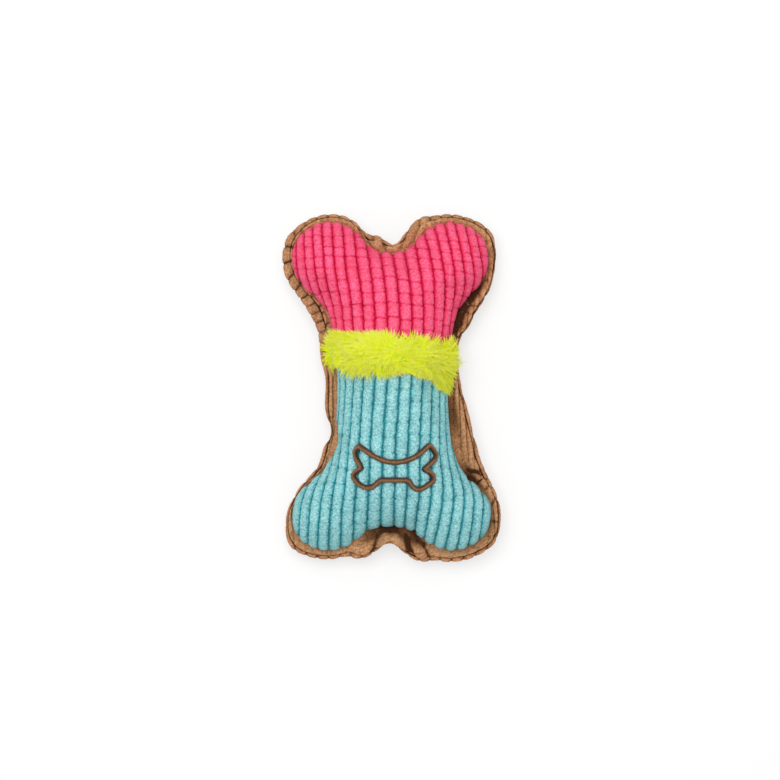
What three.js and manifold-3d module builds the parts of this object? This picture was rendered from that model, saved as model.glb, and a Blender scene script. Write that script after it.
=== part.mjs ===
// A squeaky plush dog toy in the shape of a bone, lying on its back.
// Two corduroy panels and a fur band make its front, a corduroy panel its back, and a doubled
// corduroy border stands out along the seam. Fibre wads and a squeaker fill it.
// Millimetres. +Z is up and +Y runs along the bone. The origin is on the surface that the toy
// lies on, under the middle of its waist.
import * as THREE from 'three';
import { mergeVertices } from 'three/addons/utils/BufferGeometryUtils.js';
import Module from 'manifold-3d';

// Seam outline, from the middle of the toy
const waistHalfWidth = 32.2;
const waistShift = 1.5;
const shoulderHalfWidth = 44;
const shoulderReach = 70;
const upperNotchReach = 77.4;
const lowerNotchReach = 79.8;
const upperKnob = { x: 35.2, y: 75.3, radius: 20.1 };
const lowerKnob = { x: 36.3, y: -74, radius: 19 };
const cornerBlend = 6.7;
const spineReach = 43;

// Cloth
const clothThickness = 3;
const borderThickness = 2.4;
const borderWidth = 5.5;
const backOverhang = 1.5;
const seamHeight = 20;
const seamPinch = 0.6;
const backFullness = 1.6;
// Where the border is wider or narrower: place on the seam, extra width and spread
const borderRolls = [
  { x: 36, y: -28, extra: 5.5, spread: 15 },
  { x: 0, y: -81, extra: 3.5, spread: 10 },
  { x: -33, y: 22, extra: 2, spread: 14 },
  { x: -32, y: -25, extra: -4.5, spread: 5 },
  { x: -47, y: -57, extra: -3.5, spread: 9 },
];

// Ribs of the corduroy on the front: they crowd on the flanks, drift across the waist, fan out to the
// knobs and lean there, more so on one side
const ribPitch = 7.4;
const ribDepth = 1.8;
const ribProud = 0.5;
const ribTopShare = 0.55;
const ribFade = 2;
const waistTurn = 0.985;
const knobTurn = 0.72;
const turnWidening = 22;
const upperLean = { slope: 0.16, twist: 0.0022 };
const lowerLean = { slope: 0.03, twist: -0.001 };
const leanFrom = 50;
const leanBlend = 6;
const ribDrift = { slope: 0.068, low: -35, high: 12 };

// Fur band across the waist
const bandTop = 28.5;
const bandWidth = 20;
const furPile = 5;

// Embroidered bone on the lower panel
const threadRadius = 1.2;
const motif = { x: 2.6, y: -46.5, dip: 3.2, belly: 7.4, bellyHalf: 8.5, notchX: 17.6, notchY: -0.7 };
const motifHorn = { x: 19.1, y: 8.4, radius: 4.5, from: 125, to: -25 };
const motifFoot = { x: 17.9, y: -7.3, radius: 5.3, from: 45, to: -150 };
const motifSteps = 72;
const threadSides = 6;

// Squeaker
const bulbRadius = 20;
const bulbThickness = 20;
const bulbWall = 1.2;
const bulbFlatness = 3;
const neckWall = 1.5;
const neckLength = 7;
const plugRadius = 4;
const plugLength = 15;
const plugHeadRadius = 5.2;
const plugHeadLength = 1.6;
const airChannelWidth = 2.6;
const airChannelDepth = 1.8;
const reedLength = 10;
const reedWidth = 3.4;
const reedThickness = 0.4;
const reedRootLength = 2.5;
const reedRoom = 1.6;
const reedSideRoom = 0.5;

// Stuffing and fits
const backWadThickness = 9;
const frontWadThickness = 13;
const squeezeTravel = 9;
const wadSplit = 36;
const wadInset = 0.7;
const layerGap = 0.3;

// Mesh resolution
const raysPerSide = 31;
const fineSteps = 400;
const outerLevels = [0, 0.5, 1.6, 3.2, 5.4];
const outerShares = [0.9, 0.78, 0.6, 0.35, 0];
const innerLevels = [0, 1, 2.6];
const innerShares = [0.88, 0.68, 0.4, 0];
const ribSteps = 9;
const leanSteps = 8;
const seamStep = 1;
const roundSides = 32;
const marchStep = 2;
const bisections = 30;

// Heights of the stack, from the surface up
const backWadTop = clothThickness + layerGap + backWadThickness;
const coreBottom = backWadTop + layerGap;
const coreTop = coreBottom + squeezeTravel;
const frontWadBottom = coreTop + layerGap;
const bulbTop = coreBottom + bulbThickness;
const bulbMiddle = coreBottom + bulbThickness / 2;
const pocketTop = bulbTop + layerGap;
const overallHeight = pocketTop + frontWadThickness + layerGap + clothThickness;
const frontBase = seamHeight + layerGap;
const frontRise = overallHeight - frontBase;
const backTop = seamHeight - borderThickness - layerGap;
const beyond = 4 * (upperKnob.y + upperKnob.radius + borderWidth);

const wasm = await Module();
wasm.setup();

// Booleans

function toSolid(geometry) {
  const bare = geometry.clone();
  bare.deleteAttribute('normal');
  bare.deleteAttribute('uv');
  const merged = mergeVertices(bare, 1e-4);
  return new wasm.Manifold(new wasm.Mesh({
    numProp: 3,
    vertProperties: merged.attributes.position.array,
    triVerts: new Uint32Array(merged.index.array),
  }));
}

function toGeometry(solid) {
  const mesh = solid.getMesh();
  const geometry = new THREE.BufferGeometry();
  geometry.setAttribute('position', new THREE.BufferAttribute(mesh.vertProperties, 3));
  geometry.setIndex(new THREE.BufferAttribute(mesh.triVerts, 1));
  geometry.computeVertexNormals();
  return geometry;
}

// A box between two corners, as a solid to cut with
function block(low, high) {
  const size = high.map((value, axis) => value - low[axis]);
  const middle = high.map((value, axis) => (value + low[axis]) / 2);
  return toSolid(new THREE.BoxGeometry(...size).translate(...middle));
}

function slabAlongY(low, high) {
  return block([-beyond, low, -beyond], [beyond, high, beyond]);
}

function slabAlongZ(low, high) {
  return block([-beyond, -beyond, low], [beyond, beyond, high]);
}

// The bone as a field: zero on the seam line, positive inside it, and growing about as fast as
// the distance to the seam.

function softMax(values) {
  const total = values.reduce((sum, value) => sum + Math.exp(value / cornerBlend), 0);
  return cornerBlend * Math.log(total);
}

function softMin(values) {
  return -softMax(values.map((value) => -value));
}

function insideOf(distance, size) {
  return distance < size ? (size * size - distance * distance) / (2 * size) : size - distance;
}

function boneField(x, y) {
  const flare = (shoulderHalfWidth - waistHalfWidth) * (y / shoulderReach) ** 2;
  const side = insideOf(Math.abs(x - waistShift), waistHalfWidth + flare);
  const end = insideOf(Math.abs(y), y > 0 ? upperNotchReach : lowerNotchReach);
  const knob = y > 0 ? upperKnob : lowerKnob;
  const knobs = [-knob.x, knob.x].map((knobX) => (
    insideOf(Math.hypot(x - knobX, y - knob.y), knob.radius)
  ));
  return softMax([softMin([side, end]), ...knobs]);
}

const fieldAtMiddle = boneField(0, 0);

// Rays that start on the middle line of the bone, lie across it at the waist and fan out at its ends

function rayAt(turn, side) {
  const angle = (Math.PI / 2) * turn ** 3;
  return {
    startY: spineReach * Math.sin((Math.PI / 2) * turn),
    directionX: side * Math.cos(angle),
    directionY: Math.sin(angle),
  };
}

function onRay(ray, distance) {
  return new THREE.Vector2(ray.directionX * distance, ray.startY + ray.directionY * distance);
}

// Distance along a ray to where the field first reaches a level, coming from outside
function reach(ray, level) {
  const fieldAt = (distance) => {
    const point = onRay(ray, distance);
    return boneField(point.x, point.y);
  };
  let inner = beyond / 4;
  while (inner > marchStep && fieldAt(inner) < level) inner -= marchStep;
  let outer = inner + marchStep;
  for (let i = 0; i < bisections; i += 1) {
    const middle = (inner + outer) / 2;
    if (fieldAt(middle) < level) outer = middle;
    else inner = middle;
  }
  return inner;
}

// Rays that meet the seam at equal steps along it, the same on both sides of the middle line
function evenRays() {
  const turns = Array.from({ length: fineSteps + 1 }, (_, i) => (2 * i) / fineSteps - 1);
  const seam = turns.map((turn) => onRay(rayAt(turn, 1), reach(rayAt(turn, 1), 0)));
  const lengths = [0];
  for (let i = 1; i <= fineSteps; i += 1) lengths.push(lengths[i - 1] + seam[i].distanceTo(seam[i - 1]));
  const step = lengths[fineSteps] / (raysPerSide + 1);
  const sideTurns = [];
  let at = 0;
  for (let i = 1; i <= raysPerSide; i += 1) {
    while (lengths[at + 1] < i * step) at += 1;
    const share = (i * step - lengths[at]) / (lengths[at + 1] - lengths[at]);
    sideTurns.push(turns[at] + share * (turns[at + 1] - turns[at]));
  }
  return [
    rayAt(-1, 1),
    ...sideTurns.map((turn) => rayAt(turn, 1)),
    rayAt(1, 1),
    ...sideTurns.reverse().map((turn) => rayAt(turn, -1)),
  ];
}

const rays = evenRays();
const rayCount = rays.length;

// A loop of points where the field has a level, drawn in to a share of the way from the middle line
function ring(level, height, share = 1) {
  return rays.map((ray) => {
    const distance = share * reach(ray, typeof level === 'function' ? level(ray) : level);
    const point = onRay(ray, distance);
    return new THREE.Vector3(point.x, point.y, height(point.x, point.y));
  });
}

// Loops from the rim of a swelling to the middle line of its crown
function swellingRings(start, levels, shares, height) {
  const deepest = start + levels[levels.length - 1];
  return [
    ...levels.map((level) => ring(start + level, height)),
    ...shares.map((share) => ring(deepest, height, share)),
  ];
}

function planDistance(p, q) {
  return Math.hypot(p.x - q.x, p.y - q.y);
}

// A closed surface through loops of equally many points. A loop drawn in to a line or point closes it.
// Each patch folds along the diagonal that is shorter in plan, so that layers fold alike.
function loft(sections) {
  const points = sections.flat();
  const loopLength = sections[0].length;
  const positions = points.flatMap((point) => point.toArray());
  const indices = [];
  for (let s = 0; s + 1 < sections.length; s += 1) {
    for (let i = 0; i < loopLength; i += 1) {
      const j = (i + 1) % loopLength;
      const a = s * loopLength + i;
      const b = s * loopLength + j;
      const c = (s + 1) * loopLength + i;
      const d = (s + 1) * loopLength + j;
      if (planDistance(points[a], points[d]) < planDistance(points[b], points[c])) {
        indices.push(a, c, d, a, d, b);
      } else {
        indices.push(a, c, b, b, c, d);
      }
    }
  }
  const geometry = new THREE.BufferGeometry();
  geometry.setAttribute('position', new THREE.Float32BufferAttribute(positions, 3));
  geometry.setIndex(indices);
  return withoutSlivers(mergeVertices(geometry, 1e-4));
}

// Drops the triangles that lost a side where points were merged
function withoutSlivers(geometry) {
  const { array } = geometry.index;
  const kept = [];
  for (let i = 0; i < array.length; i += 3) {
    const corners = [array[i], array[i + 1], array[i + 2]];
    if (new Set(corners).size === 3) kept.push(...corners);
  }
  geometry.setIndex(kept);
  return geometry;
}

// Swelling: a pillow's rise over its seam, steep at the seam and flat at the crown

function swell(depth) {
  return Math.sqrt(Math.max(depth, 0) + seamPinch) - Math.sqrt(seamPinch);
}

// The depth at which a swelling has reached a share of its height at the middle
function swellDepth(share, fullDepth) {
  return (share * swell(fullDepth) + Math.sqrt(seamPinch)) ** 2 - seamPinch;
}

function riseAt(x, y, rise, start) {
  return (rise * swell(boneField(x, y) - start)) / swell(fieldAtMiddle - start);
}

function frontOuter(x, y) {
  return frontBase + riseAt(x, y, frontRise, 0);
}

function frontInner(x, y) {
  return frontBase + riseAt(x, y, frontRise - clothThickness, clothThickness);
}

function furOuter(x, y) {
  return frontBase + riseAt(x, y, frontRise + furPile, -furPile);
}

const backUnderside = backTop - borderThickness;
const backInnerDepth = backTop - clothThickness;

function backOuter(x, y) {
  return Math.max(0, backUnderside - riseAt(x, y, backUnderside * backFullness, 0));
}

function backInner(x, y) {
  return Math.max(clothThickness, backTop - riseAt(x, y, backInnerDepth * backFullness, clothThickness));
}

// How far the border stands out from the seam along a ray
function borderReach(ray) {
  const seam = onRay(ray, reach(ray, 0));
  return borderRolls.reduce((width, roll) => {
    const distance = Math.hypot(seam.x - roll.x, seam.y - roll.y);
    return width + roll.extra * Math.exp(-0.5 * (distance / roll.spread) ** 2);
  }, borderWidth);
}

function frontNormal(x, y) {
  const step = 0.5;
  const slopeX = (frontOuter(x + step, y) - frontOuter(x - step, y)) / (2 * step);
  const slopeY = (frontOuter(x, y + step) - frontOuter(x, y - step)) / (2 * step);
  return new THREE.Vector3(-slopeX, -slopeY, 1).normalize();
}

// Corduroy. A rib line keeps one number all along it: its distance on the cloth from the middle rib.

// What sets the places of the ribs at a height along the bone
function ribRow(y) {
  const held = THREE.MathUtils.clamp(y, lowerKnob.y, upperKnob.y);
  const half = reach({ startY: held, directionX: 1, directionY: 0 }, 0) - waistShift;
  const widening = THREE.MathUtils.clamp((half - waistHalfWidth) / turnWidening, 0, 1);
  const turn = THREE.MathUtils.lerp(waistTurn, knobTurn, widening);
  const drift = ribDrift.slope * THREE.MathUtils.clamp(y, ribDrift.low, ribDrift.high);
  const leaning = leanBlend * Math.log(1 + Math.exp((Math.abs(y) - leanFrom) / leanBlend));
  return { y, half, turn, drift, leaning };
}

// Where a rib line crosses that height, found in steps because its lean changes with its place
function onRib(number, { y, half, turn, drift, leaning }) {
  const { slope, twist } = y > 0 ? upperLean : lowerLean;
  const steepest = Math.PI / 2;
  let x = 0;
  for (let i = 0; i < leanSteps; i += 1) {
    const angle = (turn * (number + drift - leaning * (slope + twist * x))) / half;
    x = waistShift + (half * Math.sin(THREE.MathUtils.clamp(angle, -steepest, steepest))) / turn;
  }
  return { x, y, inside: boneField(x, y) >= 0 };
}

// The height at which a rib line crosses the seam, between a height inside it and one outside
function ribEnd(number, inside, outside) {
  let near = inside;
  let far = outside;
  for (let i = 0; i < bisections; i += 1) {
    const middle = (near + far) / 2;
    if (onRib(number, ribRow(middle)).inside) near = middle;
    else far = middle;
  }
  return near;
}

// The stretch of a rib line that is inside the seam and comes nearest to the end of the bone
function ribStretch(number, rows) {
  const inside = rows.map((row) => onRib(number, row).inside);
  const last = inside.lastIndexOf(true);
  if (last < 0) return null;
  const first = inside.lastIndexOf(false, last) + 1;
  const start = first === 0 ? rows[0].y : ribEnd(number, rows[first].y, rows[first - 1].y);
  return { number, start, end: ribEnd(number, rows[last].y, rows[last + 1].y) };
}

// The loop of a rib line: along the ribbed cloth, and back along the surface that the toy lies on
function ribLoop({ number, start, end }, rise) {
  const points = Array.from({ length: ribSteps + 1 }, (_, i) => {
    const share = (1 - Math.cos((Math.PI * i) / ribSteps)) / 2;
    const { x, y } = onRib(number, ribRow(THREE.MathUtils.lerp(start, end, share)));
    const raised = rise * THREE.MathUtils.clamp(boneField(x, y) / ribFade, 0, 1);
    return new THREE.Vector3(x, y, frontOuter(x, y)).addScaledVector(frontNormal(x, y), raised);
  });
  return [...points, ...points.map(({ x, y }) => new THREE.Vector3(x, y, 0)).reverse()];
}

// The last line that still is inside the seam, past the outermost rib on one side
function ribTip(number, side, rows) {
  let near = number;
  let far = number + side * ribPitch;
  for (let i = 0; i < bisections; i += 1) {
    const middle = (near + far) / 2;
    if (ribStretch(middle, rows)) near = middle;
    else far = middle;
  }
  const { start, end } = ribStretch(near, rows);
  return { number: near, start: (start + end) / 2, end: (start + end) / 2 };
}

// All that lies under the ribbed cloth from a cut across the waist to one end of the bone
function underRibs(cut, end) {
  const side = Math.sign(end);
  const rowCount = Math.ceil((Math.abs(end - cut) + cornerBlend) / seamStep);
  const rows = Array.from({ length: rowCount }, (_, i) => ribRow(cut + side * seamStep * i));
  const ribs = Math.ceil(beyond / 2 / ribPitch);
  const lines = [];
  for (let rib = -ribs; rib <= ribs; rib += 1) {
    lines.push(
      { number: (rib - 0.5) * ribPitch, rise: ribProud - ribDepth },
      { number: (rib - ribTopShare / 2) * ribPitch, rise: ribProud },
      { number: (rib + ribTopShare / 2) * ribPitch, rise: ribProud },
    );
  }
  const laid = lines
    .map(({ number, rise }) => ({ stretch: ribStretch(number, rows), rise }))
    .filter(({ stretch }) => stretch);
  const loops = [
    ribLoop(ribTip(laid[0].stretch.number, -1, rows), 0),
    ...laid.map(({ stretch, rise }) => ribLoop(stretch, rise)),
    ribLoop(ribTip(laid[laid.length - 1].stretch.number, 1, rows), 0),
  ];
  return toSolid(loft(side > 0 ? loops : loops.reverse())).intersect(slabAlongZ(frontBase, beyond));
}

// All that lies inside the front cloth, down to the surface that the toy lies on
function insideFront() {
  const onSurface = () => 0;
  return toSolid(loft([
    ...swellingRings(clothThickness, innerLevels, innerShares, frontInner).reverse(),
    ring(clothThickness, onSurface),
    ring(clothThickness, onSurface, 0),
  ]));
}

// The shell of fur over the front, with its rim on the border
function furShell() {
  const outer = swellingRings(-furPile, outerLevels, outerShares, furOuter);
  const inner = swellingRings(clothThickness, innerLevels, innerShares, frontInner);
  return toSolid(loft([...outer.reverse(), ...inner]));
}

function frontCovers() {
  const bandBottom = bandTop - bandWidth;
  const bandMiddle = bandTop - bandWidth / 2;
  const inside = insideFront();
  const upperEnd = upperKnob.y + upperKnob.radius;
  const lowerEnd = lowerKnob.y - lowerKnob.radius;
  return {
    upper: underRibs(bandMiddle, upperEnd)
      .subtract(inside)
      .intersect(slabAlongY(bandTop + layerGap, beyond)),
    band: furShell().intersect(slabAlongY(bandBottom, bandTop)),
    lower: underRibs(bandMiddle, lowerEnd)
      .subtract(inside)
      .intersect(slabAlongY(-beyond, bandBottom - layerGap)),
  };
}

// The flat ring of doubled cloth that stands out along the seam
function borderRing() {
  const top = () => seamHeight;
  const bottom = () => seamHeight - borderThickness;
  const outward = (ray) => -borderReach(ray);
  const first = ring(clothThickness, top);
  return loft([
    first,
    ring(outward, top),
    ring(outward, bottom),
    ring(clothThickness, bottom),
    first,
  ]);
}

// Field levels of the loops over the back, from the seam to where it lies flat
function levelsToFlat(start, levels) {
  const flat = start + swellDepth(1 / backFullness, fieldAtMiddle - start);
  return [...levels.map((level) => start + level).filter((level) => level < flat), flat];
}

const backOuterLevels = levelsToFlat(0, outerLevels);
const backInnerLevels = levelsToFlat(clothThickness, innerLevels);
const backOuterFlat = backOuterLevels[backOuterLevels.length - 1];
const backInnerFlat = backInnerLevels[backInnerLevels.length - 1];

// The back: a dish that lies flat on the surface, with the lower layer of the border around it
function backPanel() {
  const outward = (ray) => -(borderReach(ray) + backOverhang);
  const innerRings = backInnerLevels.map((level) => ring(level, backInner));
  const outerRings = backOuterLevels.map((level) => ring(level, backOuter));
  return loft([
    ring(backInnerFlat, backInner, 0),
    ...innerRings.reverse(),
    ring(outward, () => backTop),
    ring(outward, () => backUnderside),
    ...outerRings,
    ring(backOuterFlat, backOuter, 0),
  ]);
}

// A wall standing on a field level, to trim stuffing with
function uprightWall(level) {
  const bottom = () => -beyond;
  const top = () => beyond;
  return toSolid(loft([ring(level, top, 0), ring(level, top), ring(level, bottom), ring(level, bottom, 0)]));
}

// The space that the stuffing takes, a gap inside the cloth all round
function stuffingSpace() {
  const upper = (x, y) => frontInner(x, y) - layerGap;
  const lower = (x, y) => backInner(x, y) + layerGap;
  const upperRings = swellingRings(clothThickness, innerLevels, innerShares, upper);
  const lowerRings = backInnerLevels.map((level) => ring(level, lower));
  return toSolid(loft([...upperRings.reverse(), ...lowerRings, ring(backInnerFlat, lower, 0)]))
    .intersect(uprightWall(clothThickness + layerGap));
}

// Where the squeaker lies in the stuffing: a round pocket and a slot for its neck and whistle
const neckRadius = plugRadius + layerGap + neckWall;
const neckEnd = bulbRadius + neckLength;
const plugHeadEnd = neckEnd + layerGap + plugHeadLength;

function squeakerRoom(bottom, top) {
  const radius = bulbRadius + layerGap;
  const half = neckRadius + layerGap;
  const tall = top - bottom;
  const pocket = new THREE.CylinderGeometry(radius, radius, tall, roundSides)
    .rotateX(Math.PI / 2)
    .translate(waistShift, 0, (top + bottom) / 2);
  const slot = block(
    [waistShift - half, -plugHeadEnd - layerGap, bottom],
    [waistShift + half, 0, top],
  );
  return toSolid(pocket).add(slot);
}

// Five handfuls of fibre: one in the waist and one in each knob
function splitIntoWads(stuffing) {
  const half = layerGap / 2;
  const quarter = (sideX, sideY) => {
    const xs = [waistShift + sideX * half, sideX * beyond].sort((a, b) => a - b);
    const ys = [sideY * (wadSplit + half), sideY * beyond].sort((a, b) => a - b);
    return stuffing.intersect(block([xs[0], ys[0], -beyond], [xs[1], ys[1], beyond]));
  };
  return {
    waist: stuffing.intersect(slabAlongY(half - wadSplit, wadSplit - half)),
    upper_left: quarter(-1, 1),
    upper_right: quarter(1, 1),
    lower_left: quarter(-1, -1),
    lower_right: quarter(1, -1),
  };
}

function wads() {
  const space = stuffingSpace();
  const backLevel = clothThickness
    + swellDepth((backTop - backWadTop) / (backInnerDepth * backFullness), fieldAtMiddle - clothThickness);
  const front = space
    .intersect(slabAlongZ(frontWadBottom, beyond))
    .intersect(uprightWall(backLevel + wadInset))
    .subtract(squeakerRoom(-beyond, pocketTop));
  const core = space
    .intersect(slabAlongZ(coreBottom, coreTop))
    .subtract(squeakerRoom(-beyond, beyond));
  return {
    front: splitIntoWads(front),
    back: splitIntoWads(space.intersect(slabAlongZ(-beyond, backWadTop))),
    core,
  };
}

// The bone that is embroidered on the lower panel: a smiling shaft with two horns and two feet
function motifPath() {
  const turn = THREE.MathUtils.degToRad;
  const arcs = [motifHorn, motifFoot].map(({ x, y, radius, from, to }) => ({
    right: [x, y, radius, turn(from), turn(to), true],
    left: [-x, y, radius, turn(180 - to), turn(180 - from), true],
  }));
  const hornTopX = motifHorn.x + motifHorn.radius * Math.cos(turn(motifHorn.from));
  const hornTopY = motifHorn.y + motifHorn.radius * Math.sin(turn(motifHorn.from));
  const path = new THREE.Path();
  path.moveTo(-hornTopX, hornTopY);
  path.quadraticCurveTo(0, 2 * motif.dip - hornTopY, hornTopX, hornTopY);
  path.absarc(...arcs[0].right);
  path.lineTo(motif.notchX, motif.notchY);
  path.absarc(...arcs[1].right);
  path.lineTo(motif.bellyHalf, -motif.belly);
  path.lineTo(-motif.bellyHalf, -motif.belly);
  path.absarc(...arcs[1].left);
  path.lineTo(-motif.notchX, motif.notchY);
  path.absarc(...arcs[0].left);
  return path;
}

// A round thread along the motif, laid on the cloth
function embroidery() {
  const points = motifPath().getSpacedPoints(motifSteps).slice(0, motifSteps);
  const lift = threadRadius + layerGap + ribProud;
  const line = points.map((point) => {
    const x = motif.x + point.x;
    const y = motif.y + point.y;
    const normal = frontNormal(x, y);
    return { at: new THREE.Vector3(x, y, frontOuter(x, y)).addScaledVector(normal, lift), normal };
  });
  const positions = [];
  const indices = [];
  line.forEach(({ at, normal }, i) => {
    const before = line[(i + motifSteps - 1) % motifSteps].at;
    const after = line[(i + 1) % motifSteps].at;
    const along = after.clone().sub(before).normalize();
    const across = new THREE.Vector3().crossVectors(normal, along).normalize();
    for (let k = 0; k < threadSides; k += 1) {
      const turn = (2 * Math.PI * k) / threadSides;
      const point = at.clone()
        .addScaledVector(across, threadRadius * Math.cos(turn))
        .addScaledVector(normal, threadRadius * Math.sin(turn));
      positions.push(...point.toArray());
      const next = (i + 1) % motifSteps;
      const a = i * threadSides + k;
      const b = i * threadSides + ((k + 1) % threadSides);
      const c = next * threadSides + k;
      const d = next * threadSides + ((k + 1) % threadSides);
      indices.push(a, d, c, a, b, d);
    }
  });
  const geometry = new THREE.BufferGeometry();
  geometry.setAttribute('position', new THREE.Float32BufferAttribute(positions, 3));
  geometry.setIndex(indices);
  return geometry;
}

// Squeaker bulb: a hollow pancake with a neck that points down the bone

function pancake(radius, thickness) {
  const turns = 10;
  const profile = Array.from({ length: turns + 1 }, (_, i) => {
    const angle = -Math.PI / 2 + (Math.PI * i) / turns;
    const across = Math.cos(angle) ** (2 / bulbFlatness);
    const up = Math.sign(Math.sin(angle)) * Math.abs(Math.sin(angle)) ** (2 / bulbFlatness);
    const onAxis = i === 0 || i === turns;
    return new THREE.Vector2(onAxis ? 0 : radius * across, (thickness / 2) * up);
  });
  return toSolid(new THREE.LatheGeometry(profile, roundSides).rotateX(Math.PI / 2));
}

// A round bar along -Y from the bulb's middle plane
function barAlongNeck(radius, from, to) {
  const sides = 24;
  return toSolid(new THREE.CylinderGeometry(radius, radius, to - from, sides)
    .translate(0, -(from + to) / 2, 0));
}

function bulb() {
  const neckStart = bulbRadius - neckLength;
  const outside = pancake(bulbRadius, bulbThickness).add(barAlongNeck(neckRadius, neckStart, neckEnd));
  const inside = pancake(bulbRadius - bulbWall, bulbThickness - 2 * bulbWall)
    .add(barAlongNeck(plugRadius + layerGap, neckStart - neckLength, beyond));
  return outside.subtract(inside);
}

// Whistle: two half plugs that hold a thin reed over an air channel

const plugStart = plugHeadEnd - plugHeadLength - plugLength;
const splitHalf = layerGap + reedThickness / 2;

function plug() {
  return barAlongNeck(plugRadius, plugStart, plugHeadEnd)
    .add(barAlongNeck(plugHeadRadius, plugHeadEnd - plugHeadLength, plugHeadEnd));
}

function whistleBase() {
  const half = plug().intersect(slabAlongZ(-beyond, -splitHalf));
  const channelEnd = plugStart + reedRootLength + reedLength - airChannelWidth;
  return half.subtract(block(
    [-airChannelWidth / 2, -channelEnd, -splitHalf - airChannelDepth],
    [airChannelWidth / 2, -plugStart + beyond, beyond],
  ));
}

function whistleClamp() {
  const half = plug().intersect(slabAlongZ(splitHalf, beyond));
  const roomHalf = reedWidth / 2 + reedSideRoom;
  return half.subtract(block(
    [-roomHalf, -beyond, -beyond],
    [roomHalf, -plugStart - reedRootLength, splitHalf + reedRoom],
  ));
}

function reed() {
  const half = reedWidth / 2;
  const shape = new THREE.Shape();
  shape.moveTo(-half, 0);
  shape.lineTo(-half, -(reedLength - half));
  shape.absarc(0, -(reedLength - half), half, Math.PI, 2 * Math.PI, false);
  shape.lineTo(half, 0);
  return new THREE.ExtrudeGeometry(shape, {
    depth: reedThickness,
    bevelEnabled: false,
    curveSegments: 8,
  }).translate(0, -plugStart, -reedThickness / 2);
}

// Materials

function cloth(colour, roughness = 0.95) {
  return new THREE.MeshStandardMaterial({ color: colour, roughness, metalness: 0 });
}

const pinkCorduroy = cloth('#f2557a');
const blueCorduroy = cloth('#84bfc2');
const brownCorduroy = cloth('#9f714e');
const limeFur = cloth('#d8de48', 1);
const brownThread = cloth('#7d4a1e', 0.6);
const whiteFibre = cloth('#f4f2ec', 1);
const clearPlastic = cloth('#e9ecec', 0.35);
const whistlePlastic = cloth('#f5f5f5', 0.3);
const reedPlastic = cloth('#d4a640', 0.3);

// Assembly

function named(name, shape, material) {
  const geometry = shape.isBufferGeometry ? shape : toGeometry(shape);
  const mesh = new THREE.Mesh(geometry, material);
  mesh.name = name;
  return mesh;
}

const toy = new THREE.Group();
const covers = frontCovers();
toy.add(
  named('front_upper_panel', covers.upper, pinkCorduroy),
  named('fur_band', covers.band, limeFur),
  named('front_lower_panel', covers.lower, blueCorduroy),
  named('embroidered_bone', embroidery(), brownThread),
  named('front_border', borderRing(), brownCorduroy),
  named('back_panel', backPanel(), brownCorduroy),
);

const fibre = wads();
for (const [place, wad] of Object.entries(fibre.front)) toy.add(named(`front_wad_${place}`, wad, whiteFibre));
for (const [place, wad] of Object.entries(fibre.back)) toy.add(named(`back_wad_${place}`, wad, whiteFibre));
toy.add(named('filling_core', fibre.core, whiteFibre));

const squeaker = new THREE.Group();
squeaker.position.set(waistShift, 0, bulbMiddle);
squeaker.add(
  named('squeaker_bulb', bulb(), clearPlastic),
  named('whistle_base', whistleBase(), whistlePlastic),
  named('whistle_clamp', whistleClamp(), whistlePlastic),
  named('whistle_reed', reed(), reedPlastic),
);
toy.add(squeaker);

export default toy;
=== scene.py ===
"""Looks of a stuffed, bone-shaped squeaky dog toy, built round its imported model.

The toy lies on its back, +Z up and +Y along the bone. Lengths are in millimetres until a
mesh is made, and then in metres.
"""

import math

import bmesh
import bpy
import numpy as np
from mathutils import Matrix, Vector
from mathutils.kdtree import KDTree


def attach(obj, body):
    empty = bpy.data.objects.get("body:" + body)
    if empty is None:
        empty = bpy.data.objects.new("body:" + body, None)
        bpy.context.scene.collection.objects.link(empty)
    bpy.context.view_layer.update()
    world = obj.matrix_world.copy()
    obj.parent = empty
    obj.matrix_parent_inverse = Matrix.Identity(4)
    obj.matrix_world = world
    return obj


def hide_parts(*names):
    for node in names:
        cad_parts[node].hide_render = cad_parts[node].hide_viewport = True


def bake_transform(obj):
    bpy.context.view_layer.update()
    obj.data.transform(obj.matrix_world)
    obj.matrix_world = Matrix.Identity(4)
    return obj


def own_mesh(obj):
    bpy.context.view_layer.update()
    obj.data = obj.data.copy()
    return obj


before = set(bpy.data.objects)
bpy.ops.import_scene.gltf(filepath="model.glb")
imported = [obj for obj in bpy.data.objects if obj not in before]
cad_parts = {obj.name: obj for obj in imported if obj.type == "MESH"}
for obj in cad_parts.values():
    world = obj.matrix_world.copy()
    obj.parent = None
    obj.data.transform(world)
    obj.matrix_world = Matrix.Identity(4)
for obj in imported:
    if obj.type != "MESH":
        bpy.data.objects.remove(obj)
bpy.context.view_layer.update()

MM = 0.001

# Seam outline
WAIST_HALF = 32.2
WAIST_SHIFT = 1.5
SHOULDER_HALF = 44.0
SHOULDER_REACH = 70.0
UPPER_NOTCH = 77.4
LOWER_NOTCH = 79.8
UPPER_KNOB = (35.2, 75.3, 20.1)
LOWER_KNOB = (36.3, -74.0, 19.0)
CORNER_BLEND = 6.7

# Heights of the stuffed form
FRONT_BASE = 20.3
FRONT_RISE = 28.9
SEAM_PINCH = 0.6
SEAM_SINK = 0.6
BACK_UNDERSIDE = 14.9
BACK_FULLNESS = 1.6
CLOTH = 2.2

# Rays that the cloth is laid out along
SPINE_REACH = 46.0
RAY_REACH = 140.0
LEVEL_SHARE = 0.5
FAN_POWER = 1.5
HALF_COLUMNS = 450
COLUMNS = 2 * HALF_COLUMNS
FRONT_ROWS = 156
BACK_ROWS = 102
LINING_STEP = 6
LINING_DROP = 0.8

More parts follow.
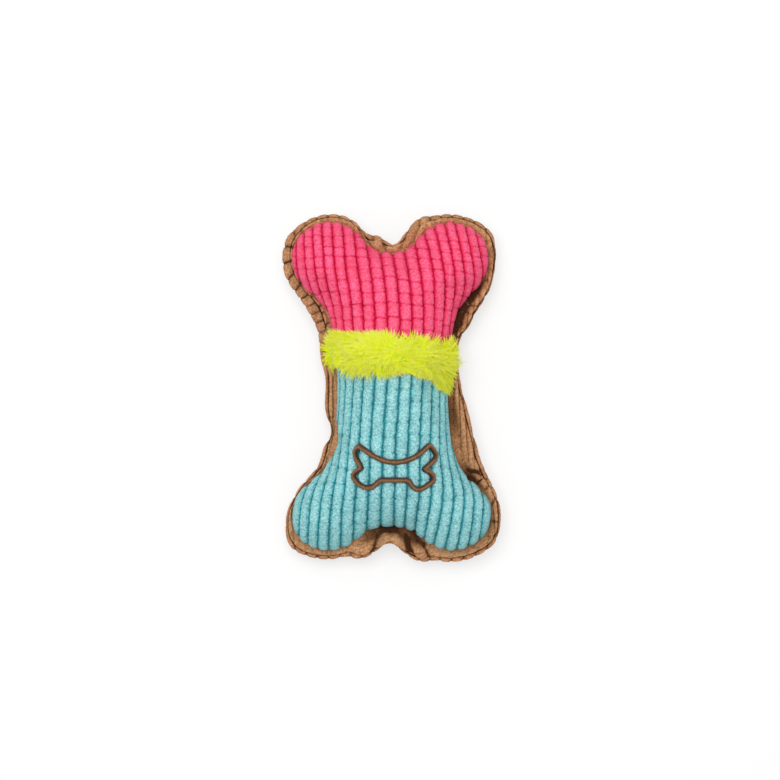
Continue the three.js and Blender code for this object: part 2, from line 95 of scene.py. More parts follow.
# Cloth simulation of the front
SIM_STEP = 6
SIM_VOXEL = 4.0
SIM_HELD = 1.5
SIM_PRESSURE = 4.0
SIM_SLACK = 0.02
SIM_FRAMES = 20
SIM_CAP = 6.0
SIM_UNDERSIDE = 0.3

# Corduroy of the front: rib pitch, length of a block along a rib, relief
RIB_PITCH = 7.4
BLOCK_LENGTH = 8.2
LONG_BLOCK = 9.4
RIB_DEPTH = 2.3
RIB_PROUD = 0.6
# Wavering of the ribs and of their blocks, and the unevenness of their pile: height and lump size
RIB_WANDER = (0.5, 22.0)
RIB_FRAY = (0.35, 1.9)
BLOCK_FRAY = (0.35, 1.7)
PILE_COARSE = (0.6, 1.5)
PILE_FINE = (0.5, 0.8)
FRONT_PILE = 0.16
# Ribs pressed flat beside the seam of the flanks
FLANK_FADE = 5.0
FLANK_PRESS = 0.7
# Cuts between the blocks of a rib: their width, and how far their depths and places vary
CUT_WIDTH = 0.55
CUT_UNEVEN = 0.3
CUT_SHIFT = 0.16
CUT_STRAY = 0.12
# How deep they are over the whole rib, and how far they pinch its sides
UPPER_CUTS = (0.36, 0.3)
LOWER_CUTS = (0.08, 0.5)
# How the cloth turns down at its flanks, knobs and ends, and the slope of its rows
GRAIN_REACH = 110.0
WAIST_TURN = 0.985
KNOB_TURN = 0.72
TURN_WIDENING = 22.0
END_TURN = 0.9
ROW_SLOPE = 0.15
ROW_SLOPE_REACH = 80.0
# Lean of the ribs past the waist, and what it gains to one side; their drift across the waist
UPPER_LEAN = (0.16, 0.0022)
LOWER_LEAN = (0.03, -0.001)
LEAN_FROM = 50.0
LEAN_BLEND = 6.0
RIB_DRIFT = 0.068
DRIFT_RANGE = (-35.0, 12.0)
# The ribs of the lower right knob bend back towards the notch: from which height, and how much
BEND_FROM = 58.0
BEND_BLEND = 4.0
BEND_LEAN = 0.2
BEND_SIDE = (2.0, 22.0)

# Corduroy of the back and the border, its cuts and its wavering given as for the front
BROWN_PITCH = 6.6
BROWN_BLOCK = 6.6
BROWN_DEPTH = 0.9
BROWN_CUTS = (0.5, 0.3)
BACK_WANDER = (0.6, 25.0)
BACK_PILE = 0.12
BACK_FLOOR = 0.02
BORDER_CUTS = (0.2, 0.2)
BORDER_WANDER = (0.8, 16.0)
BORDER_PILE = 0.14
PAD_LENGTH = 6.8
PAD_DEPTH = 1.1
PAD_SMOOTH = 0.85
PAD_WANDER = (0.25, 12.0)
CREASE_LENGTH = 7.6
CREASE_WIDTH = 0.7
CREASE_DEPTH = 0.4
DEEP_CREASE = 0.8
CREASE_WANDER = (0.3, 7.0)
RIDGE_PITCH = 3.9
RIDGE_CUTS = (0.05, 0.1)
RIDGE_WANDER = (1.2, 14.0)
RIDGE_LEAST = 0.15

# Border round the seam at places on it: x, y, width, and how much of that the back layer shows
BORDER_PLACES = [
    (0, -80, 7.4, 1.6), (8, -81, 14.0, 1.8), (20, -88, 8.5, 2.2), (37, -94, 8.0, 3.0),
    (50, -89, 8.0, 2.6), (57, -78, 7.5, 1.6), (54, -64, 8.2, 1.8), (44, -51, 8.5, 2.0),
    (39, -43, 10.8, 2.2), (36, -33, 13.5, 2.4), (35, -21, 12.8, 2.4), (34, -14, 11.8, 2.4),
    (34, -7, 10.4, 2.2), (34, 7, 7.0, 1.8), (35, 21, 4.5, 1.4), (36, 30, 5.6, 1.4),
    (37, 37, 9.2, 1.2), (43, 51, 7.8, 1.0), (53, 63, 5.6, 1.0), (57, 78, 5.6, 1.6),
    (51, 89, 7.2, 2.4), (39, 95, 6.0, 2.4), (22, 92, 6.5, 2.4), (9, 81, 9.8, 3.6),
    (5, 79, 5.0, 1.8), (1, 78, 2.6, 1.2), (-3, 78, 7.6, 2.8), (-6, 79, 6.8, 2.8),
    (-11, 82, 3.4, 1.8), (-15, 85, 5.6, 2.2), (-22, 92, 6.5, 2.2), (-39, 95, 6.0, 2.4),
    (-51, 89, 6.0, 3.4), (-56, 77, 6.7, 4.8), (-52, 63, 7.0, 5.8), (-40, 50, 6.5, 4.8),
    (-36, 42, 8.5, 5.8), (-33, 30, 8.5, 5.0), (-31, 18, 9.5, 2.8), (-30, 6, 7.0, 2.4),
    (-31, -11, 7.5, 2.4), (-31, -18, 5.5, 2.0), (-32, -26, 1.5, 0.8), (-34, -35, 5.0, 2.2),
    (-36, -42, 4.0, 2.2), (-40, -50, 3.0, 1.6), (-53, -63, 2.5, 1.4), (-56, -77, 5.5, 2.0),
    (-50, -89, 8.2, 2.6), (-37, -94, 6.8, 2.6), (-20, -88, 6.7, 2.4), (-8, -81, 13.0, 1.8),
]
# Spots on the border: x, y, size, spread. Where it stands up, in millimetres
BORDER_LIFTS = [
    (55.0, -76.0, 5.0, 18.0), (0.0, -80.0, 4.0, 6.0), (44.0, 52.0, 3.5, 15.0),
    (-45.0, 40.0, 1.5, 20.0),
]
# Where its inner half sinks into a channel beside the front, which is darkened with painted shade
BORDER_CHANNELS = [
    (45.0, 53.0, 1.0, 12.0), (36.0, 32.0, 0.8, 7.0), (57.0, -74.0, 0.4, 9.0),
    (45.0, -52.0, 0.8, 8.0), (0.0, -80.0, 0.9, 5.0), (-11.0, -82.5, 0.6, 5.0),
    (14.0, -84.0, 0.8, 6.0), (35.0, -15.0, 0.7, 14.0),
]
# Where it is cut into chunky blocks
BORDER_BLOCKS = [
    (-57.0, 74.0, 0.9, 12.0), (-46.0, 55.0, 1.0, 14.0), (-34.0, 34.0, 0.7, 8.0),
    (0.0, 78.0, 0.6, 8.0), (45.0, -52.0, 0.6, 10.0),
]
# Where it is gathered into folds, and into creases between them where the height is below nothing
BORDER_FOLDS = [
    (-11.0, -82.5, 0.8, 2.0), (-7.0, -81.0, -1.0, 1.2), (-3.0, -80.2, 1.4, 1.8),
    (3.5, -80.3, 1.4, 1.8), (8.5, -81.5, -1.3, 1.6), (13.0, -83.5, 0.9, 2.0),
    (17.0, -86.0, -0.8, 1.2), (-15.0, 86.0, -0.6, 0.8), (-11.0, 82.5, -0.8, 0.9),
    (-6.5, 79.5, 1.3, 2.2), (-2.8, 78.4, -1.1, 0.8), (2.0, 78.2, 0.9, 2.0),
    (6.5, 79.4, -0.7, 0.8), (9.5, 81.2, 0.9, 1.6), (13.0, 84.0, -0.6, 0.8),
    (16.5, 87.0, 0.8, 2.0), (42.0, -47.0, -1.2, 1.2),
]
CHANNEL_DEPTH = 1.3
CHANNEL_END = 0.75
CHANNEL_FADE = 0.35
# Underside and thickness of its two layers
FRONT_LAYER = (17.4, 3.0)
BACK_LAYER = (14.6, 2.6)
BACK_LIFT = 0.8
BORDER_TUCK = 6.0
BORDER_LEAST = 0.6
BORDER_SHADOW = 0.5
# Painted shade in its grooves and channels, and painted shadow along the line where one layer lies
# on the other
GROOVE_SHADE = 0.8
SHADOW_TONE = 0.9

# The left flank is pulled in above the lower knob: place along the bone, spread, and how far
PULL_PLACE = -32.0
PULL_SPREAD = 9.0
PULL = 3.2
PULL_FROM = 22.0
PULL_FADE = 10.0

# The front swells over the seam at the knobs, most of all at one place
KNOB_SWELL = 0.8
KNOB_FROM = (12.0, 50.0)
KNOB_FADE = (10.0, 15.0)
SWELL_EDGE = 8.0
SWELL_PLACE = (57.0, -72.0)
SWELL_SPREAD = 11.0
SWELL = 2.2

# Fur band
BAND_LOW = 8.5
BAND_HIGH = 28.5
BAND_TUCK = 6.0
FUR_LOW = 12.2
FUR_HIGH = 25.2
FUR_DROOP = 9.8
DROOP_FROM = 19.5
DROOP_SPREAD = 14.0
DROOP_EDGE = 0.03
FUR_TAPER = 3.5
TAPER_FROM = 20.0
TAPER_SPREAD = 12.0
# Thickness of the band's skin: over its middle, at its edges, and how far it is off the cloth
FUR_SKIN = 2.4
SKIN_EDGE = 0.5
SKIN_GAP = 0.4
# Height and size of its lumps
SKIN_LUMPS = (1.1, 5.0)
# Its place in the colours and the tones of the strands
SKIN_TIP = 0.3
SKIN_SHADE = 0.5
# How the upper edge of the fur dips in the middle and tilts
FUR_CROWN = -0.5
CROWN_REACH = 20.0
FUR_TILT = 2.0
TILT_REACH = 25.0
FUR_TUFTS = 6000
# A tuft's strands, and shares of its length: how far apart they root, their radius, their bend
TUFT_STRANDS = 3
TUFT_ROOT = 0.12
STRAND_RADIUS = 0.024
TUFT_BEND = 0.5
TUFT_SPIN = 1.6
TUFT_SIZES = (0.65, 1.2)
FUR_LENGTH = 8.5
FUR_LIFT = 0.36
FUR_STRAY = 0.3
FUR_EDGE = 5.0
FUR_TRIM = 0.3
TRIM_FROM = 30.0
TRIM_SPREAD = 6.0
# How the fur lies: in tufts, as height and lump size, that are calmer at the band's edges; in a
# flow to both ends and off the edges; sagging, and close to the cloth on the flanks
FUR_WAVES = (0.75, 10.0)
FUR_TWISTS = (0.9, 4.0)
FUR_EVEN = 0.7
EVEN_FROM = 3.0
EVEN_FADE = 4.0
END_FLOW = 0.8
FLOW_MIDDLE = 2.0
FLOW_REACH = 25.0
EDGE_FLOW = 1.1
EDGE_REACH = 8.5
FUR_SAG = 0.15
FLANK_FROM = 16.0
FLANK_SPREAD = 14.0
FLANK_CLOSE = 0.22
# How far the strands are lit as the skin under them is, and as if turned up to the light
FUR_COAT = 0.48
FUR_GLOW = 0.6

# Embroidered bone
MOTIF = (2.6, -46.5)
# Places on its line from the middle of the motif, clockwise from the left horn
MOTIF_PLACES = [
    (-20.0, 13.1), (-16.4, 10.6), (-12.7, 7.9), (-8.0, 5.6), (-3.6, 4.3), (0.8, 4.0),
    (5.6, 4.7), (10.3, 6.3), (14.7, 9.0), (19.9, 13.9), (22.1, 11.0), (23.7, 8.3),
    (23.2, 5.6), (20.2, 2.9), (16.6, -0.2), (19.5, -1.4), (22.1, -3.8), (22.3, -6.5),
    (19.1, -9.0), (15.8, -11.2), (12.5, -11.5), (9.8, -9.5), (8.5, -7.0), (7.0, -6.1),
    (-8.0, -6.1), (-9.8, -7.7), (-12.4, -10.1), (-16.1, -10.6), (-19.7, -9.2), (-22.6, -6.3),
    (-23.9, -4.0), (-22.3, -1.6), (-18.6, 0.5), (-20.1, 3.1), (-22.1, 5.9), (-22.6, 9.2),
    (-21.9, 11.7),
]
THREAD_WIDTH = 3.5
# Half the padding's width and height as shares of that, and how deep its line is seated
PADDING_SHARES = (0.42, 0.36)
THREAD_SEAT = 0.25
STITCH_SLANT = 0.3
# How deep and how wide the thread presses the ribs
MOTIF_PRESS = 1.1
MOTIF_PRESS_WIDTH = 1.9
STITCHES = 420
STITCH_ARCH = 0.42
STITCH_RADIUS = 0.16
STITCH_SIZES = (0.88, 1.1)

# Stuffing
WAD_VOXEL = 2.0
WAD_SINK = 0.5
WAD_LUMPS = (0.7, 5.0)
WAD_FLUFF = (0.3, 2.2)

# The front stuffing is drawn in at its foot, to go down through the border when it is pressed
FOOT_TOP = 36.0
FOOT_FADE = 3.5
FOOT_ROOM = 3.2

# Neck of the squeaker: distances along it from the bulb's middle and radii, round its wall
NECK_HEIGHT = 22.6
NECK_SECTION = [
    (17.8, 4.4), (17.8, 5.8), (22.0, 5.8), (26.4, 5.8), (26.9, 5.5),
    (27.0, 5.1), (26.9, 4.7), (26.4, 4.4), (22.0, 4.4),
]
NECK_SIDES = 40
SLOT_HALF = 6.2
SLOT_END = 13.5

# Studio, in metres
FLOOR_REACH = 3.0
FLOOR_TONE = 0.9
FLOOR_GLOW = 0.6
LAMP_PLACE = (-0.13, 0.24, 1.32)
LAMP_SIZE = 0.8
LAMP_POWER = 12.3
SKY_LIGHT = 0.6
CAMERA_PLACE = (0.0, -0.0012, 1.287)
CAMERA_LENS = 100.0
CAMERA_SENSOR = 36.0


# Shared sums


def fade(values, start, spread):
    """From 0 at the start to 1 past the spread."""
    return np.clip((values - start) / spread, 0, 1)


def bell(values, width):
    return np.exp(-((values / width) ** 2))


def plan(points):
    """The x and the y of points."""
    return points[..., 0], points[..., 1]


def smooth_step(part):
    return part * part * (3 - 2 * part)


def softened(values, count, mode):
    """Values averaged with their neighbours, over that many places."""
    window = np.hanning(count) / np.sum(np.hanning(count))
    return np.convolve(np.pad(values, count // 2, mode=mode), window, mode="valid")


def search_tree(points):
    tree = KDTree(len(points))
    for i, point in enumerate(points):
        tree.insert(point, i)
    tree.balance()
    return tree


def unit(vectors):
    return vectors / np.maximum(np.linalg.norm(vectors, axis=-1, keepdims=True), 1e-9)


# The stuffed form


def inside_of(distance, size):
    """Depth inside a line at that size, levelling out towards its middle."""
    return np.where(distance < size, (size**2 - distance**2) / (2 * size), size - distance)


def soft_max(*values):
    return CORNER_BLEND * np.logaddexp.reduce(np.stack(values) / CORNER_BLEND)


def soft_min(*values):
    return -soft_max(*[-value for value in values])


def bone_depth(x, y):
    """How far a point is inside the seam, negative outside it."""
    upper = y > 0
    flare = (SHOULDER_HALF - WAIST_HALF) * (y / SHOULDER_REACH) ** 2
    side = inside_of(np.abs(x - WAIST_SHIFT), WAIST_HALF + flare)
    end = inside_of(np.abs(y), np.where(upper, UPPER_NOTCH, LOWER_NOTCH))
    knob_x, knob_y, knob_radius = (
        np.where(upper, high, low) for high, low in zip(UPPER_KNOB, LOWER_KNOB)
    )
    right = inside_of(np.hypot(x - knob_x, y - knob_y), knob_radius)
    left = inside_of(np.hypot(x + knob_x, y - knob_y), knob_radius)
    return soft_max(soft_min(side, end), left, right)


DEPTH_AT_MIDDLE = float(bone_depth(np.array(0.0), np.array(0.0)))


def swell(depth):
    return np.sqrt(np.maximum(depth, 0) + SEAM_PINCH) - math.sqrt(SEAM_PINCH)


def rise_at(x, y, rise):
    return rise * swell(bone_depth(x, y)) / swell(DEPTH_AT_MIDDLE)


def front_height(x, y):
    return FRONT_BASE + rise_at(x, y, FRONT_RISE)


def back_height(x, y):
    return np.maximum(0.0, BACK_UNDERSIDE - rise_at(x, y, BACK_UNDERSIDE * BACK_FULLNESS))


class Rays:
    """Level lines from the bone's middle line, straight across its waist, fanned at its ends."""

    def __init__(self, turns, sides):
        opened = fade(np.abs(turns), LEVEL_SHARE, 1 - LEVEL_SHARE)
        angle = np.sign(turns) * math.pi / 2 * opened**FAN_POWER
        self.start = SPINE_REACH * np.sin(math.pi / 2 * turns)
        self.across = sides * np.cos(angle)
        self.along = np.sin(angle)

    def points(self, distance):
        return self.across * distance, self.start + self.along * distance

    def reach(self, level):
        """Distance along each ray to the outermost place that is that deep inside the seam."""
        steps = np.arange(0.0, RAY_REACH)[:, None]
        inside = bone_depth(*self.points(steps)) >= level
        near = np.max(np.where(inside, steps, 0.0), axis=0)
        far = near + 1.0
        for _ in range(24):
            middle = (near + far) / 2
            within = bone_depth(*self.points(middle)) >= level
            near = np.where(within, middle, near)
            far = np.where(within, far, middle)
        return near


def even_turns(count):
    """Turns whose rays meet the seam at equal steps, the same on both sides."""
    fine = np.linspace(-1, 1, 4001)
    length = np.zeros(len(fine))
    for side in (1, -1):
        rays = Rays(fine, side)
        x, y = rays.points(rays.reach(0.0))
        length[1:] += np.cumsum(np.hypot(np.diff(x), np.diff(y)))
    return np.interp(np.linspace(0, length[-1], count + 1), length, fine)


# Columns run from the lower notch up the right side to the upper notch and down the left side
right_turns = even_turns(HALF_COLUMNS)
RAYS = Rays(
    np.concatenate([right_turns, right_turns[-2:0:-1]]),
    np.concatenate([np.ones(HALF_COLUMNS + 1), -np.ones(HALF_COLUMNS - 1)]),
)
SEAM_REACH = RAYS.reach(0.0)
SEAM_X, SEAM_Y = RAYS.points(SEAM_REACH)
OPPOSITE = (COLUMNS - np.arange(COLUMNS)) % COLUMNS


def seam_length():
    """Distance along the seam to each column."""
    step = np.hypot(np.roll(SEAM_X, -1) - SEAM_X, np.roll(SEAM_Y, -1) - SEAM_Y)
    return np.concatenate([[0], np.cumsum(step)[:-1]])


SEAM_LENGTH = seam_length()
RUN_X = np.roll(SEAM_X, -3) - np.roll(SEAM_X, 3)
RUN_Y = np.roll(SEAM_Y, -3) - np.roll(SEAM_Y, 3)
# How nearly the seam runs along the bone at each column, from 0 to 1
LENGTHWISE = (RUN_Y**2 / (RUN_X**2 + RUN_Y**2)) ** 2


def spots_along_seam(spots):
    """Sum of soft bumps round the seam, one for each x, y, size and spread."""
    total = np.zeros(COLUMNS)
    for x, y, size, spread in spots:
        away = np.hypot(SEAM_X - x, SEAM_Y - y)
        total += size * np.exp(-0.5 * (away / spread) ** 2)
    return total


def row_shares(height, rows):
    """Shares of the way from seam to middle line that give rows of equal width on the cloth."""
    share = np.linspace(0, 1, 801)[:, None] ** 2
    x, y = RAYS.points(SEAM_REACH * (1 - share))
    z = height(x, y)
    step = np.sqrt(np.diff(x, axis=0) ** 2 + np.diff(y, axis=0) ** 2 + np.diff(z, axis=0) ** 2)
    along = np.concatenate([np.zeros((1, COLUMNS)), np.cumsum(step, axis=0)])
    mean = np.mean(along / along[-1], axis=1)
    return np.interp(np.linspace(0, 1, rows + 1), mean, share[:, 0])


def dome(height, rows):
    """Points of the smooth cloth, rows from the seam to the middle line by columns."""
    x, y = RAYS.points(SEAM_REACH * (1 - row_shares(height, rows)[:, None]))
    return np.stack([x, y, height(x, y)], axis=-1)


def dome_normals(points):
    """Upward normals of a dome's points, shared along the middle line."""
    along = np.roll(points, -1, axis=1) - np.roll(points, 1, axis=1)
    inward = np.gradient(points, axis=0)
    normals = unit(np.cross(along, inward))
    normals[-1] = unit(normals[-1] + normals[-1][OPPOSITE])
    return normals


# Randomness, the same in every run


LATTICE = 48
CHANCES = 512


def lumps(points, size, seed):
    """Smooth random values from -1 to 1, about one lump to each size."""
    lattice = np.random.default_rng(seed).uniform(-1, 1, (LATTICE, LATTICE, LATTICE))
    place = points / size
    cell = np.floor(place).astype(int)
    part = smooth_step(place - cell)
    total = np.zeros(points.shape[:-1])
    for corner in np.ndindex(2, 2, 2):
        weight = np.prod(np.where(corner, part, 1 - part), axis=-1)
        spot = (cell + corner) % LATTICE
        total += weight * lattice[spot[..., 0], spot[..., 1], spot[..., 2]]
    return total


def waver(points, amount, seed):
    """Lumps of a height and a size."""
    height, size = amount
    return height * lumps(points, size, seed)


def chance(index, seed):
    """One random value from -1 to 1 for each whole number."""
    table = np.random.default_rng(seed).uniform(-1, 1, CHANCES)
    return table[index.astype(int) % CHANCES]


# Corduroy


def half_widths():
    """Half the width of the bone at heights along it, held past the middle of the knobs."""
    y = np.linspace(-115, 115, 461)
    held = np.clip(y, LOWER_KNOB[1], UPPER_KNOB[1])
    out = np.linspace(0, 80, 801)[:, None]
    inside = bone_depth(WAIST_SHIFT + out, held[None, :] + 0 * out) >= 0
    width = np.max(np.where(inside, out, 0.0), axis=0)
    return y, softened(width, 25, "edge")


WIDTH_PLACES, WIDTHS = half_widths()


def grain(x, y):
    """Lengths on the cloth across and along its ribs, which crowd on the flanks and fan out."""
    half = np.interp(y, WIDTH_PLACES, WIDTHS)
    widening = fade(half, WAIST_HALF, TURN_WIDENING)
    turn = WAIST_TURN + (KNOB_TURN - WAIST_TURN) * widening
    out = (x - WAIST_SHIFT) / half
    past = (out - np.clip(out, -1, 1)) / np.sqrt(1 - turn**2)
    across = half * (np.arcsin(turn * np.clip(out, -1, 1)) / turn + past)
    leaning = LEAN_BLEND * np.logaddexp(0, (np.abs(y) - LEAN_FROM) / LEAN_BLEND)
    slope, twist = (np.where(y > 0, high, low) for high, low in zip(UPPER_LEAN, LOWER_LEAN))
    bent = BEND_BLEND * np.logaddexp(0, (-y - BEND_FROM) / BEND_BLEND)
    across = across + BEND_LEAN * bent * fade(x, *BEND_SIDE)
    drift = RIB_DRIFT * np.clip(y, *DRIFT_RANGE)
    along = GRAIN_REACH * np.arcsin(END_TURN * np.clip(y / GRAIN_REACH, -1, 1)) / END_TURN
    rows = ROW_SLOPE * np.maximum(x, 0) * fade(y, 0, ROW_SLOPE_REACH)
    return across + leaning * (slope + twist * x) - drift, along + rows


def corduroy(across, along, pitch, block, cuts, seed):
    """Relief of ribs cut into blocks, from 0 in the grooves to 1 on the tops."""
    cut_all, cut_sides = cuts
    rib = np.round(across / pitch)
    side = np.abs(across / pitch - rib) * 2
    ridge = np.clip(1 - side**3, 0, 1) ** 0.7
    place = along / block + CUT_SHIFT * chance(rib, seed)
    cut = np.round(place)
    away = np.abs(place - cut - CUT_STRAY * chance(rib * 31 + cut, seed + 1)) * block
    uneven = 1 - CUT_UNEVEN + CUT_UNEVEN * chance(rib * 17 + cut, seed + 2)
    notch = bell(away, CUT_WIDTH) * uneven
    return np.clip(ridge * (1 - cut_all * notch) - cut_sides * notch * side**1.5, 0, 1)


def pile(points, seed):
    """Fine unevenness of brushed pile, about -1 to 1."""
    return waver(points, PILE_COARSE, seed) + waver(points, PILE_FINE, seed + 1)


# Meshes


def quads(index):
    return np.stack(
        [index[:-1, :-1], index[:-1, 1:], index[1:, 1:], index[1:, :-1]], axis=-1
    ).reshape(-1, 4)


def numbered(grid):
    """Numbers of the points of a grid."""
    rows, columns = grid.shape[:2]
    return np.arange(rows * columns).reshape(rows, columns)


def wrapped(grid):
    """Point numbers of a whole dome, its first column repeated and its middle line shared."""
    number = numbered(grid)
    columns = grid.shape[1]
    opposite = (columns - np.arange(columns)) % columns
    number[-1] = np.minimum(number[-1], number[-1][opposite])
    return np.concatenate([number, number[:, :1]], axis=1)


def joined(*grids):
    """The points of several grids in one list."""
    return np.concatenate([grid.reshape(-1, 3) for grid in grids])


def store(mesh, label, values):
    """A value or a vector at each point of a mesh."""
    kind, part = ("FLOAT_VECTOR", "vector") if values.ndim == 2 else ("FLOAT", "value")
    attribute = mesh.attributes.new(label, kind, "POINT")
    attribute.data.foreach_set(part, values.astype(np.float32).ravel())


def shade_smooth(mesh):
    mesh.polygons.foreach_set("use_smooth", [True] * len(mesh.polygons))


def new_object(name, data):
    made = bpy.data.objects.new(name, data)
    bpy.context.scene.collection.objects.link(made)
    return made


def add_piece(name, points, faces, **values):
    """A mesh object from points in millimetres, its faces and its values at each point."""
    used = np.unique(np.concatenate([np.ravel(face) for face in faces]))
    renumber = np.zeros(len(points), int)
    renumber[used] = np.arange(len(used))
    mesh = bpy.data.meshes.new(name)
    polygons = [renumber[face].tolist() for group in faces for face in group]
    mesh.from_pydata((points[used] * MM).tolist(), [], polygons)
    for label, value in values.items():
        store(mesh, label, value[used])
    shade_smooth(mesh)
    mesh.update()
    return new_object(name, mesh)


def positions(mesh):
    """A mesh's points, in millimetres."""
    flat = np.zeros(len(mesh.vertices) * 3, np.float32)
    mesh.vertices.foreach_get("co", flat)
    return flat.reshape(-1, 3).astype(float) / MM


def made_plain(piece):
    """The piece with what its modifiers make as its own mesh."""
    bpy.context.view_layer.update()
    graph = bpy.context.evaluated_depsgraph_get()
    mesh = bpy.data.meshes.new_from_object(piece.evaluated_get(graph), depsgraph=graph)
    mesh.name = piece.name
    piece.modifiers.clear()
    piece.data = mesh
    return piece


def remeshed(piece, size):
    """The piece as an even mesh with cells of that size."""
    even = piece.modifiers.new("even", "REMESH")
    even.mode = "VOXEL"
    even.voxel_size = size * MM
    return made_plain(piece)


def small_shape(name, points, faces, label, values):
    """A shape to repeat, with a value at each point."""
    mesh = bpy.data.meshes.new(name)
    mesh.from_pydata(points, [], faces)
    store(mesh, label, np.array(values))
    shade_smooth(mesh)
    return new_object(name, mesh)


def packed_shape(name, nodes):
    """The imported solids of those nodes, welded into one piece."""
    form = bmesh.new()
    for node in nodes:
        form.from_mesh(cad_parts[node].data)
    bmesh.ops.remove_doubles(form, verts=form.verts, dist=1e-6)
    mesh = bpy.data.meshes.new(name)
    form.to_mesh(mesh)
    form.free()
    shade_smooth(mesh)
    return new_object(name, mesh)


def sewn_panel(name, outer, lining, groove):
    """A panel of thick cloth, its halves meeting on the middle line, with a coarser lining."""
    top, under = numbered(outer), numbered(lining)
    for sheet in (top, under):
        sheet[-1] = np.minimum(sheet[-1], sheet[-1][::-1])
    under += top.size
    faces = [quads(top), quads(under)[:, ::-1]]
    faces.append(edge_strip(top[0], under[0]))
    faces.append(edge_strip(top[:, 0], under[:, 0])[:, ::-1])
    faces.append(edge_strip(top[:, -1], under[:, -1]))
    groove = np.concatenate([groove.ravel(), np.ones(under.size)])
    return add_piece(name, joined(outer, lining), faces, groove=groove)


def edge_strip(fine, coarse):
    """Faces between a fine edge of the cloth and the coarse edge of its lining."""
    strip = []
    for i in range(len(coarse) - 1):
        span = fine[i * LINING_STEP : (i + 1) * LINING_STEP + 1]
        strip.append(np.concatenate([[coarse[i], coarse[i + 1]], span[::-1]]))
    return np.array(strip)


def ring_piece(name, points, groove):
    """A closed band round the seam, columns by points of its profile."""
    index = numbered(points)
    index = np.concatenate([index, index[:1]], axis=0)
    index = np.concatenate([index, index[:, :1]], axis=1)
    return add_piece(name, points.reshape(-1, 3), [quads(index)], groove=groove.ravel())


# Materials


def linear(red, green, blue):
    """A colour as it looks on screen, as the shader's light values."""
    return tuple(
        part / 12.92 if part <= 0.04045 else ((part + 0.055) / 1.055) ** 2.4
        for part in (red, green, blue)
    ) + (1.0,)


SOCKETS = {
    "base": "Base Color",
    "roughness": "Roughness",
    "specular": "Specular IOR Level",
    "sheen": "Sheen Weight",
    "sheen_roughness": "Sheen Roughness",
    "sheen_tint": "Sheen Tint",
    "clear": "Transmission Weight",
    "ior": "IOR",
}


class Nodes:
    """A node tree under construction."""

    def node(self, kind, settings=None, **inputs):
        """A node with its settings, and its inputs linked or set by number or name."""
        node = self.tree.nodes.new(kind)
        for label, value in (settings or {}).items():
            setattr(node, label, value)
        for label, value in inputs.items():
            key = label.replace("_", " ")
            socket = node.inputs[int(key[1:])] if key[1:].isdigit() else node.inputs[key]
            if isinstance(value, bpy.types.NodeSocket):
                self.tree.links.new(value, socket)
            else:
                socket.default_value = value
        return node

    def math(self, operation, first, second):
        node = self.node("ShaderNodeMath", {"operation": operation}, _0=first, _1=second)
        return node.outputs[0]


class Finish(Nodes):
    """A node material."""

    def __init__(self, name):
        self.material = bpy.data.materials.new(name)
        self.material.use_nodes = True
        self.tree = self.material.node_tree
        self.shader = self.tree.nodes["Principled BSDF"]
        self.place = self.node("ShaderNodeTexCoord").outputs["Object"]

    def set(self, **values):
        for label, value in values.items():
            self.shader.inputs[SOCKETS[label]].default_value = value

    def noise(self, size, detail=2.0, roughness=0.5):
        """Noise with lumps of that size in millimetres."""
        node = self.node(
            "ShaderNodeTexNoise",
            Vector=self.place,
            Scale=1 / (size * MM),
            Detail=detail,
            Roughness=roughness,
        )
        return node.outputs["Fac"]

    def attribute(self, label):
        return self.node("ShaderNodeAttribute", {"attribute_name": label}).outputs["Fac"]

    def ramp(self, source, stops):
        """Colours along a value, from pairs of position and colour."""
        node = self.node("ShaderNodeValToRGB", Fac=source)
        elements = node.color_ramp.elements
        while len(elements) < len(stops):
            elements.new(0.5)
        for element, (position, colour) in zip(elements, stops):
            element.position = position
            element.color = colour
        return node.outputs["Color"]

    def overlay(self, below, above):
        kinds = {"data_type": "RGBA", "blend_type": "OVERLAY"}
        return self.node("ShaderNodeMix", kinds, Factor=1.0, _6=below, _7=above).outputs[2]

    def colour(self, source):
        self.tree.links.new(source, self.shader.inputs["Base Color"])

    def bump(self, source, height):
        node = self.node("ShaderNodeBump", Strength=1.0, Distance=height * MM, Height=source)
        self.tree.links.new(node.outputs["Normal"], self.shader.inputs["Normal"])


def grey(value):
    return (value, value, value, 1.0)


def corduroy_finish(name, tip, cloth, groove, fleck):
    """Brushed ribs: a full colour on the sides, lighter tips and deeper grooves, partly painted
    highlight and painted shade.
    """
    finish = Finish(name)
    ribs = finish.ramp(
        finish.attribute("groove"), [(0.0, tip), (0.35, cloth), (0.66, groove), (1.0, groove)]
    )
    speckle = finish.ramp(
        finish.noise(1.25, 3.0, 0.7), [(0.34, grey(0.5 - fleck)), (0.66, grey(0.5 + fleck))]
    )
    mottle = finish.ramp(finish.noise(9.0, 2.0), [(0.3, grey(0.45)), (0.7, grey(0.55))])
    flecked = finish.overlay(ribs, speckle)
    finish.colour(finish.overlay(flecked, mottle))
    finish.bump(finish.noise(0.7, 3.0, 0.7), 0.5)
    finish.set(roughness=0.95, specular=0.1, sheen=0.25, sheen_roughness=0.6, sheen_tint=tip)
    return finish.material


PINK = corduroy_finish(
    "pink_corduroy",
    linear(0.96, 0.38, 0.52),
    linear(0.92, 0.26, 0.42),
    linear(0.78, 0.02, 0.24),
    0.26,
)
BLUE = corduroy_finish(
    "blue_corduroy",
    linear(0.57, 0.79, 0.80),
    linear(0.44, 0.70, 0.72),
    linear(0.12, 0.52, 0.56),
    0.24,
)
BROWN = corduroy_finish(
    "brown_corduroy",
    linear(0.72, 0.53, 0.38),
    linear(0.59, 0.41, 0.27),
    linear(0.24, 0.13, 0.07),
    0.22,
)


